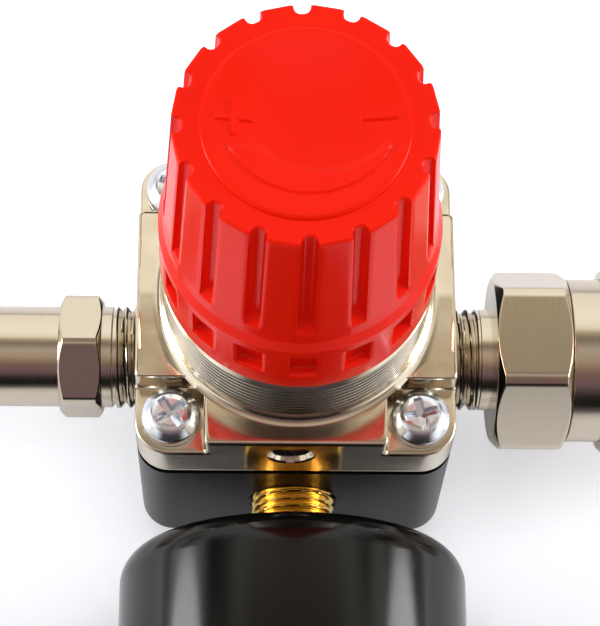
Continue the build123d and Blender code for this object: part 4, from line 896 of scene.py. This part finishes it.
# %% [markdown]
# The socket half of the coupler is a plain turned tube with a hole for each locking
# ball. Over it slides the sleeve that a hand pulls back, so the sleeve is knurled: two
# families of V grooves cross at right angles, a whole number of each round the sleeve,
# so the pattern closes without a seam. The deeper groove wins at each point.

# %% Coupler body
BALL_TURNS = np.radians((45, 135, 225, 315))
BALL_X, BALL_R, BALL_CENTRE_R = 56.3, 1.6, 6.93


def socket():
    """Tube from the hexagon to the mouth, with grooves for packing, balls and ring inside and out."""
    corners = [
        (34.95, 7.55, 0.1), (34.95, 10.45, 0.25), (44.0, 10.45, 0.3), (44.0, 8.6, 0), (58.25, 8.6, 0),
        (58.25, 8.15, 0), (59.1, 8.15, 0), (59.1, 8.6, 0), (62.5, 8.6, 0.5), (62.5, 6.1, 0.5),
        (58.1, 6.1, 0), (58.1, 6.3, 0), (54.5, 6.3, 0), (54.5, 6.1, 0), (52.3, 6.1, 0), (52.3, 7.4, 0),
        (50.3, 7.4, 0), (50.3, 6.1, 0), (49.0, 6.1, 0), (49.0, 4.4, 0.1), (47.0, 4.4, 0.1),
        (47.0, 6.4, 0), (41.15, 6.4, 0), (41.15, 7.55, 0),
    ]
    profile = rounded(corners)
    return lathe("nickel_socket", profile, PORT_AXIS, [], columns=144)


def ball_way(turned):
    """Axis from the middle of the tube out through one ball."""
    out = np.sin(turned) * -NORTH + np.cos(turned) * UP
    return (np.array((BALL_X, 0, PORT_Z)), out, EAST, np.cross(out, EAST))


ball_hole = [(3, 0), (3, BALL_R + 0.05), (9.6, BALL_R + 0.05), (9.6, 0)]
nickel_socket = drill(socket(), *[(ball_way(turned), ball_hole) for turned in BALL_TURNS])
finish(nickel_socket, NICKEL, "nickel_fitting", "root", "coupler_body")

# %% Knurled sleeve
SLEEVE_LOW, SLEEVE_HIGH, SLEEVE_R = 39.3, 61.5, 12.5
KNURL_LOW, KNURL_HIGH, KNURL_COUNT, KNURL_DEPTH = 43.6, 57.6, 52, 0.3


def knurl(along, angle, out):
    """Triangle waves of the distance along plus and less the way round, the larger one taken off."""
    pitch = TAU * SLEEVE_R / KNURL_COUNT
    waves = [np.abs(2 * ((along / pitch + lean * KNURL_COUNT * angle / TAU) % 1) - 1) for lean in (1, -1)]
    ends = ease(np.minimum(along - KNURL_LOW, KNURL_HIGH - along) / 0.4)
    groove = ease((np.maximum(*waves) - 0.35) / 0.65)
    return out - np.where(out > SLEEVE_R - 0.01, KNURL_DEPTH * ends * groove, 0)


def sleeve():
    """Hand ring over the socket, with two turned grooves beside the knurl."""
    corners = [
        (SLEEVE_LOW, 10.5, 0.15), (SLEEVE_LOW, 11.4, 0.3), (40.4, SLEEVE_R, 0.4), (42.3, SLEEVE_R, 0.2),
        (42.7, 12.1, 0.15), (43.1, 12.1, 0.15), (43.4, SLEEVE_R, 0), (57.8, SLEEVE_R, 0),
        (58.1, 12.1, 0.15), (58.6, 12.1, 0.15), (59.0, SLEEVE_R, 0.2), (60.6, SLEEVE_R, 0.4),
        (SLEEVE_HIGH, 11.6, 0.3), (SLEEVE_HIGH, 10.2, 0.15), (58.2, 10.2, 0), (58.2, 9.5, 0.1),
        (56.5, 8.65, 0), (52.0, 8.65, 0), (52.0, 10.5, 0),
    ]
    profile = finer(rounded(corners), 0.16, 43.39, 57.81)
    profile = np.concatenate((profile, profile[:1]))
    return shell("knurled_sleeve", turn(profile, PORT_AXIS, circle(468), knurl), crisp=np.radians(45))


knurled_sleeve = finish(sleeve(), NICKEL, "nickel_fitting", "sleeve", "coupler_sleeve")


def ball(number, turned):
    """Sphere: half a circle turned round its own axis."""
    centre = np.array((BALL_X, 0, PORT_Z)) + BALL_CENTRE_R * ball_way(turned)[1]
    half = np.linspace(0, np.pi, 25)
    profile = BALL_R * np.stack((-np.cos(half), np.sin(half)), 1)
    made = shell(f"steel_ball_{number}", turn(profile, (centre, EAST, NORTH, UP), circle(48)))
    return finish(made, STEEL, "steel", f"ball_{number}", f"locking_ball_{number}")


balls = [ball(number + 1, turned) for number, turned in enumerate(BALL_TURNS)]
print("sleeve faces", len(knurled_sleeve.data.polygons), "balls", len(balls))

# %% [markdown]
# The gauge screws into the front port by its brass stem. The stem carries an eighth inch
# pipe thread, whose last turns stay in sight between body and case, and square flats for
# a spanner. The case is a deep black moulding with a well rounded back edge.

# %% Gauge stem
STEM_PITCH, STEM_DEPTH = 0.941, 0.5
CASE_BACK, CASE_FRONT, CASE_R = 26.2, 50.2, 21.34
FLATS_START, FLATS = 22.8, 12.0


def stem():
    """Threaded tube with a square for the spanner, and the block that carries the bent tube inside."""
    corners = [
        (11.25, 1.2, 0), (11.25, 4.7, 0.1), (11.7, 5.11, 0), (22.4, 5.11, 0), (22.45, 4.7, 0),
        (22.8, 4.7, 0), (22.8, FLATS / 2, 0), (26.15, FLATS / 2, 0), (26.15, 4.6, 0), (28.3, 4.6, 0),
        (28.3, 1.2, 0),
    ]
    profile = finer(finer(rounded(corners), 0.07, 11.69, 22.41), 0.15, 22.79, 26.16)

    def rule(along, angle, out):
        cut = thread(along, angle, STEM_PITCH, STEM_DEPTH, 11.7, 22.4)
        out = np.where((np.abs(out - 5.11) < 0.02) & (along < 22.41), out - cut, out)
        end = np.minimum(along - FLATS_START, 26.15 - along)
        cone = FLATS / 2 + 0.1 + end / np.tan(np.radians(30))
        square = soft_least(flats(angle, FLATS / 2, 4, 0.0, 0.3), cone, 0.2)
        return np.where(out > 5.5, square, out)

    tube = turn(np.concatenate((profile, profile[:1])), GAUGE_AXIS, circle(240), rule)

    def box_rule(along, angle, out):
        return np.where(out > 1, np.minimum(4 / np.abs(np.cos(angle)), 10.45 / np.abs(np.sin(angle))), out)

    low, high = 28.25, 37.0
    block = np.array(((low, 0), (low, 5), (high, 5), (high, 0)), float)
    block = turn(block, (np.array((0, 0, 6.45)), -NORTH, EAST, UP), circle(360, 0.001), box_rule)
    return shell("brass_stem", tube, block)


brass_stem = finish(stem(), BRASS, "brass", "root", "gauge_socket")
print("stem faces", len(brass_stem.data.polygons))

# %% Gauge case and its back screws
CASE_ROUND = 4.4


def case():
    """Open cup with a rounded back, a rim for the lens and a hole for the stem."""
    corners = [
        (CASE_BACK, 4.65, 0.2), (CASE_BACK, CASE_R, CASE_ROUND), (CASE_FRONT, CASE_R, 0.8),
        (CASE_FRONT, 19.75, 0.25), (48.55, 19.75, 0), (48.55, 19.14, 0.1), (30.8, 19.14, 0.2),
        (30.8, 17.1, 0), (28.2, 17.1, 0.5), (28.2, 4.65, 0),
    ]
    profile = rounded(corners, arc_points=16)
    profile = np.concatenate((profile, profile[:1]))
    return shell("black_case", turn(profile, GAUGE_AXIS, circle(360)))


black_case = finish(case(), BLACK_ABS, "black_case", "root", "gauge_case")
back_screws = [pan_head(np.array((x, -(CASE_BACK - 0.02), 2.9)), NORTH, EAST, turned, size=0.4, length=5.4)
               for x, turned in ((-2.2, 0.4), (2.2, 1.1))]
back_screws = finish(shell("case_screws_seen", *back_screws), STEEL, "steel", "root", "case_screws")
print("case and screw faces", len(black_case.data.polygons), len(back_screws.data.polygons))

# %% [markdown]
# Behind the clear lens is a white dial. Its ink is a separate thin piece that lies 0.02
# mm over the enamel: an arc, long and short ticks and the numbers 0 to 10 for bar. A
# tick at a share of the scale stands at 225 degrees less 270 degrees times the share,
# because the pointer turns clockwise from the lower left.

# %% Lens, dial and ink
DIAL_FRONT = 44.15
SCALE_START, SCALE_SWEEP = np.radians(225), np.radians(270)
INK_HIGH = 0.02


def lens():
    """Flat disc with a bevelled front edge."""
    corners = [(48.6, 0, 0), (48.6, 19.68, 0.1), (49.4, 19.68, 0.1), (50.0, 19.1, 0.2), (50.0, 0, 0)]
    return shell("clear_lens", turn(rounded(corners), GAUGE_AXIS, circle(240)))


# %% Ink of the scale
def strip(corners):
    """Flat quad or fan of x, z corners, seen from the front."""
    return [(x * MM, -(DIAL_FRONT + INK_HIGH) * MM, (PORT_Z + z) * MM) for x, z in corners]


def ring_part(start, end, inner, outer, parts):
    """Quads of a part of a ring between two angles."""
    bends = np.linspace(start, end, parts + 1)
    arms = np.stack((np.cos(bends), np.sin(bends)), 1)
    return [strip([here * inner, here * outer, there * outer, there * inner])
            for here, there in zip(arms[:-1], arms[1:])]


def ink_mesh(name, quads):
    """One flat mesh of quads."""
    mesh = bpy.data.meshes.new(name)
    points = [corner for quad in quads for corner in quad]
    mesh.from_pydata(points, [], [tuple(range(4 * k, 4 * k + 4)) for k in range(len(quads))])
    return place(name, mesh)


def scale_quads():
    """The arc and its ticks: a long one every tenth, a middle one every fifth."""
    quads = ring_part(SCALE_START, SCALE_START - SCALE_SWEEP, 15.9, 16.15, 120)
    for k in range(51):
        angle = SCALE_START - SCALE_SWEEP * k / 50
        length, half = ((2.6, 0.16) if k % 10 == 0 else (1.8, 0.11) if k % 5 == 0 else (1.1, 0.07))
        arm, side = np.array((np.cos(angle), np.sin(angle))), np.array((-np.sin(angle), np.cos(angle)))
        inner, outer = arm * (16.0 - length), arm * 16.15
        ways = ((inner, -1), (inner, 1), (outer, 1), (outer, -1))
        quads.append(strip([end + side * half * way for end, way in ways]))
    return quads


# %% Numbers
def number(text, angle, away, size):
    """A number as a mesh, its middle at an angle and distance from the dial's middle."""
    curve = bpy.data.curves.new("number_" + text, "FONT")
    curve.body, curve.size, curve.align_x, curve.align_y = text, size * MM, "CENTER", "CENTER"
    curve.resolution_u = 6
    writing = bpy.data.objects.new("number_" + text, curve)
    bpy.context.scene.collection.objects.link(writing)
    graph = bpy.context.evaluated_depsgraph_get()
    mesh = bpy.data.meshes.new_from_object(writing.evaluated_get(graph))
    bpy.data.objects.remove(writing)
    spot = Vector(strip([(away * np.cos(angle), away * np.sin(angle))])[0])
    mesh.transform(Matrix.Translation(spot) @ Matrix.Rotation(np.pi / 2, 4, "X"))
    return mesh


def joined(name, meshes):
    """Several meshes as one piece."""
    work = bmesh.new()
    for mesh in meshes:
        work.from_mesh(mesh)
    whole = bpy.data.meshes.new(name)
    work.to_mesh(whole)
    work.free()
    return place(name, whole)


# %% The gauge's front put together
# Real polycarbonate lets nearly all light through to the dial, so the lens casts no shadow.
clear_lens = finish(lens(), LENS, "clear_lens", "root", "gauge_lens")
clear_lens.visible_shadow = False
scale = finish(ink_mesh("dial_scale", scale_quads()), DIAL_INK, "black_pointer", "root")
numbers = [number(str(2 * k), SCALE_START - SCALE_SWEEP * k / 5, 11.4, 3.0) for k in range(6)]
numbers.append(number("bar", -np.pi / 2, 9.0, 2.2))
dial_numbers = finish(joined("dial_numbers", numbers), DIAL_INK, "black_pointer", "root")
red_zone = ring_part(SCALE_START - 0.8 * SCALE_SWEEP, SCALE_START - SCALE_SWEEP, 16.5, 17.4, 30)
red_band = finish(ink_mesh("dial_red_band", red_zone), RED_INK, "red_knob", "root")
print("ink pieces", scale.name, dial_numbers.name, red_band.name)

# %% [markdown]
# Two threaded plugs close the body: the wide brass cap underneath, which holds the valve
# and its stem's seal, and the small plug in the unused rear port. Both have a hexagon
# socket, made by the same rule as a hexagon, on the rows of the socket's wall.

# %% Bottom cap and rear plug
def socket_rule(half, low, high):
    """A rule for turn: the wall at the half width, from low to high, becomes a hexagon."""
    def rule(along, angle, out):
        here = (np.abs(out - half) < 0.02) & (along > low - 0.01) & (along < high + 0.01)
        return np.where(here, half / np.cos((angle + np.pi / 6) % (np.pi / 3) - np.pi / 6), out)
    return rule


def cap():
    """Wide plug with a ring groove, a hexagon socket below and the seat of the stem seal above."""
    corners = [
        (1.4, 0, 0), (1.4, 4.0, 0), (0.3, 4.0, 0), (0.3, 8.1, 0), (0.7, 8.47, 0), (3.6, 8.47, 0),
        (3.6, 7.3, 0), (4.8, 7.3, 0), (4.8, 8.47, 0), (5.2, 8.47, 0), (5.2, 3.4, 0), (6.4, 3.4, 0),
        (6.4, 2.45, 0), (4.4, 2.45, 0), (4.4, 3.3, 0), (3.4, 3.3, 0), (3.4, 2.45, 0), (2.5, 2.45, 0),
        (2.5, 0, 0),
    ]
    wall = socket_rule(4.0, 0.3, 1.4)
    return shell("brass_cap", turn(np.array(corners)[:, :2], KNOB_AXIS, circle(240), wall))


def plug():
    """Short plug with a hexagon socket."""
    corners = [
        (15.2, 0, 0), (15.2, 2.5, 0), (18.8, 2.5, 0), (18.8, 4.6, 0), (18.3, 5.11, 0), (11.4, 5.11, 0),
        (11.4, 0, 0),
    ]
    wall = socket_rule(2.5, 15.2, 18.8)
    return shell("nickel_plug", turn(np.array(corners)[:, :2], REAR_AXIS, circle(240), wall))


brass_cap = finish(cap(), BRASS, "brass", "root", "bottom_cap")
nickel_plug = finish(plug(), NICKEL, "nickel_fitting", "root", "rear_port_plug")
print("cap faces", len(brass_cap.data.polygons))

# %% [markdown]
# The pieces inside stay the CAD's own meshes, because their real shape is all that a cut
# or a pulled knob would show. They only need the right material.

# %% Materials of the inner pieces
INNER = [
    (STEEL, "adjusting_screw diaphragm_plate dial_screws"),
    (SPRING_WIRE, "adjusting_spring valve_spring sleeve_spring coupler_valve_spring spindle_circlip "
                  "sleeve_retaining_ring"),
    (BRASS, "poppet_valve relief_seat spring_seat_nut coupler_valve bourdon_tube bourdon_tip "
            "movement_back_plate movement_front_plate movement_pillars pointer_arbor sector_gear tip_link"),
    (RUBBER, "diaphragm valve_disc stem_seal cap_o_ring coupler_valve_seal coupler_packing"),
    (ACETAL, "thrust_washer"), (ENAMEL, "gauge_dial"), (DIAL_INK, "gauge_pointer"),
]
for material, names in INNER:
    for name in names.split():
        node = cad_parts[name]
        node.data.materials.clear()
        node.data.materials.append(material)
print("inner pieces", sum(len(names.split()) for _, names in INNER))

# %% [markdown]
# The studio is a pale floor in a tent. The camera sees white, with a painted glow on the
# floor that dips to a painted shade in front of the part, and the light that falls on the
# part is at a plain level, weaker from the front, with one large soft lamp over it, so that
# a colour renders about as it is written. Bright metal only looks like metal when it has
# something dark to mirror. So the mirror rays see a tent that climbs from a dark front
# edge over a grey middle to a bright roof and back, and side walls of cloth in uneven
# folds. The floor in front is painted darker for those rays too, a painted shade that
# shows only in reflections.

# %% Floor
FLOOR_Z = -8.95
FLOOR_REACH = 3000


def floor():
    """Paper that the camera sees brighter than the light alone makes it, by a painted glow that dips to a
    painted shade in front of the part; mirror rays see its front painted darker.
    """
    material, tree = new_material("pale_paper")
    spot = add_node(tree, "ShaderNodeTexCoord").outputs["Object"]
    fibre = add_node(tree, "ShaderNodeTexNoise", {"Scale": per_mm(1.5), "Detail": 3.0}, {"Vector": spot})
    paper = add_node(tree, "ShaderNodeValToRGB", {"stops": [(0.3, "#F1F1F6"), (0.7, "#F5F5F9")]},
                     {"Fac": fibre.outputs["Fac"]}).outputs["Color"]
    rays = add_node(tree, "ShaderNodeLightPath")
    back = add_node(tree, "ShaderNodeSeparateXYZ", links={"Vector": spot}).outputs["Y"]
    # Painted shade: the camera's glow falls from 0.6 to 0.08 over the floor in front of the part, darkest
    # between 70 and 35 mm in front of the middle.
    near = add_node(tree, "ShaderNodeMapRange", {"From Min": -35 * MM, "From Max": 10 * MM,
                    "To Min": 0.08, "To Max": 0.6}, {"Value": back})
    far = add_node(tree, "ShaderNodeMapRange", {"From Min": -150 * MM, "From Max": -70 * MM,
                   "To Min": 0.6, "To Max": 0.08}, {"Value": back})
    fall = add_node(tree, "ShaderNodeMath", {"operation": "MAXIMUM"},
                    {0: near.outputs["Result"], 1: far.outputs["Result"]})
    camera_glow_with_painted_shade = add_node(tree, "ShaderNodeMath", {"operation": "MULTIPLY"},
                   {0: rays.outputs["Is Camera Ray"], 1: fall.outputs["Value"]})
    # Painted shade in reflections: mirror rays see the floor in front mixed towards black, up to nine tenths
    # from 200 mm in front of the middle.
    edge = add_node(tree, "ShaderNodeMapRange", {"From Min": -200 * MM, "From Max": -40 * MM,
                    "To Min": 0.9, "To Max": 0.0}, {"Value": back})
    painted_mirror_shade = add_node(tree, "ShaderNodeMath", {"operation": "MULTIPLY"},
                     {0: rays.outputs["Is Glossy Ray"], 1: edge.outputs["Result"]})
    sheet = add_node(tree, "ShaderNodeMix", {"data_type": "RGBA", 7: colour("#000000")},
                     {0: painted_mirror_shade.outputs["Value"], 6: paper}).outputs[2]
    shader = add_node(tree, "ShaderNodeBsdfPrincipled", {"Roughness": 0.8, "Specular IOR Level": 0.1},
                      {"Base Color": sheet})
    glow = add_node(tree, "ShaderNodeEmission",
                    links={"Color": paper, "Strength": camera_glow_with_painted_shade.outputs["Value"]})
    both = add_node(tree, "ShaderNodeAddShader",
                    links={0: shader.outputs["BSDF"], 1: glow.outputs["Emission"]})
    add_node(tree, "ShaderNodeOutputMaterial", links={"Surface": both.outputs["Shader"]})
    mesh = bpy.data.meshes.new("paper_floor")
    corners = [(x * FLOOR_REACH * MM, y * FLOOR_REACH * MM) for x, y in ((-1, -1), (1, -1), (1, 1), (-1, 1))]
    mesh.from_pydata([(x, y, FLOOR_Z * MM) for x, y in corners], [], [(0, 1, 2, 3)])
    piece = bpy.data.objects.new("paper_floor", mesh)
    bpy.context.scene.collection.objects.link(piece)
    mesh.materials.append(material)


# %% Tent
TENT_OVER = [
    (0.0, "#191817"), (0.06, "#191817"), (0.105, "#2F2A29"), (0.19, "#705B67"), (0.28, "#79645E"),
    (0.37, "#A69586"), (0.46, "#B5AAA2"), (0.51, "#958E86"), (0.55, "#767067"), (0.603, "#B0A18B"),
    (0.628, "#EFE7D6"), (0.66, "#F8F3EA"), (0.73, "#FFFDF8"), (1.0, "#F4F0EA"),
]
TENT_WALLS = [(0.36, "#1E1916"), (0.44, "#8C7A66"), (0.5, "#E4D9C8"), (0.58, "#FFFFFF")]


def tent():
    """World light: white for the camera, plain for the lighting. Mirror rays see a ramp over the climb,
    which is the angle up from the front, from 0 to 1 over half a turn, and cloth walls at the sides."""
    world = bpy.data.worlds.new("light_tent")
    bpy.context.scene.world = world
    world.use_nodes = True
    tree = world.node_tree
    tree.nodes.clear()
    direction = add_node(tree, "ShaderNodeTexCoord").outputs["Generated"]
    stretched = add_node(tree, "ShaderNodeMapping", {"Scale": (1.1, 1.1, 2.0)}, {"Vector": direction})
    cloth = add_node(tree, "ShaderNodeTexNoise", {"Scale": 1.9, "Detail": 1.5},
                     {"Vector": stretched.outputs["Vector"]})
    walls = add_node(tree, "ShaderNodeValToRGB", {"stops": TENT_WALLS}, {"Fac": cloth.outputs["Fac"]})
    parts = add_node(tree, "ShaderNodeSeparateXYZ", links={"Vector": direction})
    forth = add_node(tree, "ShaderNodeMath", {"operation": "MULTIPLY", 1: -1.0}, {0: parts.outputs["Y"]})
    climb = add_node(tree, "ShaderNodeMath", {"operation": "ARCTAN2"},
                     {0: parts.outputs["Z"], 1: forth.outputs["Value"]})
    climb = add_node(tree, "ShaderNodeMapRange", {"From Max": np.pi}, {"Value": climb.outputs["Value"]})
    over = add_node(tree, "ShaderNodeValToRGB", {"stops": TENT_OVER}, {"Fac": climb.outputs["Result"]})
    aside = add_node(tree, "ShaderNodeMath", {"operation": "ABSOLUTE"}, {0: parts.outputs["X"]})
    aside = add_node(tree, "ShaderNodeMapRange", {"From Min": 0.45, "From Max": 0.75},
                     {"Value": aside.outputs["Value"]})
    mirror = add_node(tree, "ShaderNodeMix", {"data_type": "RGBA"},
                      {0: aside.outputs["Result"], 6: over.outputs["Color"], 7: walls.outputs["Color"]})
    rays = add_node(tree, "ShaderNodeLightPath")
    tint = add_node(tree, "ShaderNodeMix", {"data_type": "RGBA", 6: colour("#FFFFFF")},
                    {0: rays.outputs["Is Glossy Ray"], 7: mirror.outputs[2]})
    seen = add_node(tree, "ShaderNodeMath", {"operation": "MAXIMUM"},
                    {0: rays.outputs["Is Camera Ray"], 1: rays.outputs["Is Glossy Ray"]})
    seen = add_node(tree, "ShaderNodeMath", {"operation": "MAXIMUM"},
                    {0: seen.outputs["Value"], 1: rays.outputs["Is Transmission Ray"]})
    plain = add_node(tree, "ShaderNodeMath", {"operation": "SUBTRACT", 0: 1.0}, {1: seen.outputs["Value"]})
    level = add_node(tree, "ShaderNodeMapRange", {"From Min": -1.0, "From Max": -0.2,
                     "To Min": 0.12, "To Max": 0.55}, {"Value": parts.outputs["Y"]})
    strength = add_node(tree, "ShaderNodeMath", {"operation": "MULTIPLY_ADD"},
                        {0: plain.outputs["Value"], 1: level.outputs["Result"], 2: seen.outputs["Value"]})
    extra = add_node(tree, "ShaderNodeMath", {"operation": "MULTIPLY_ADD", 1: 0.25},
                     {0: rays.outputs["Is Glossy Ray"], 2: strength.outputs["Value"]})
    light = add_node(tree, "ShaderNodeBackground", links={"Color": tint.outputs[2],
                     "Strength": extra.outputs["Value"]})
    add_node(tree, "ShaderNodeOutputWorld", links={"Surface": light.outputs["Background"]})


# %% Lamps
LAMPS_AIM = (0, 0, 30)


def soft_lamp(name, place_mm, size_mm, watts, mirrored=True):
    """A round lamp that points at the middle of the part. One that isn't mirrored gives no highlight."""
    lamp = bpy.data.lights.new(name, "AREA")
    lamp.shape, lamp.size, lamp.energy = "DISK", size_mm * MM, watts
    holder = bpy.data.objects.new(name, lamp)
    holder.visible_glossy = mirrored
    holder.location = Vector(place_mm) * MM
    holder.rotation_euler = (Vector(LAMPS_AIM) - Vector(place_mm)).to_track_quat("-Z", "Y").to_euler()
    bpy.context.scene.collection.objects.link(holder)


floor()
tent()
soft_lamp("lamp_over", (0, -20, 480), 320, 0.9, mirrored=False)
soft_lamp("lamp_left", (-380, 0, 130), 200, 0.8)
soft_lamp("lamp_right", (380, 0, 130), 200, 0.8)
bpy.context.scene.view_settings.view_transform = "Standard"
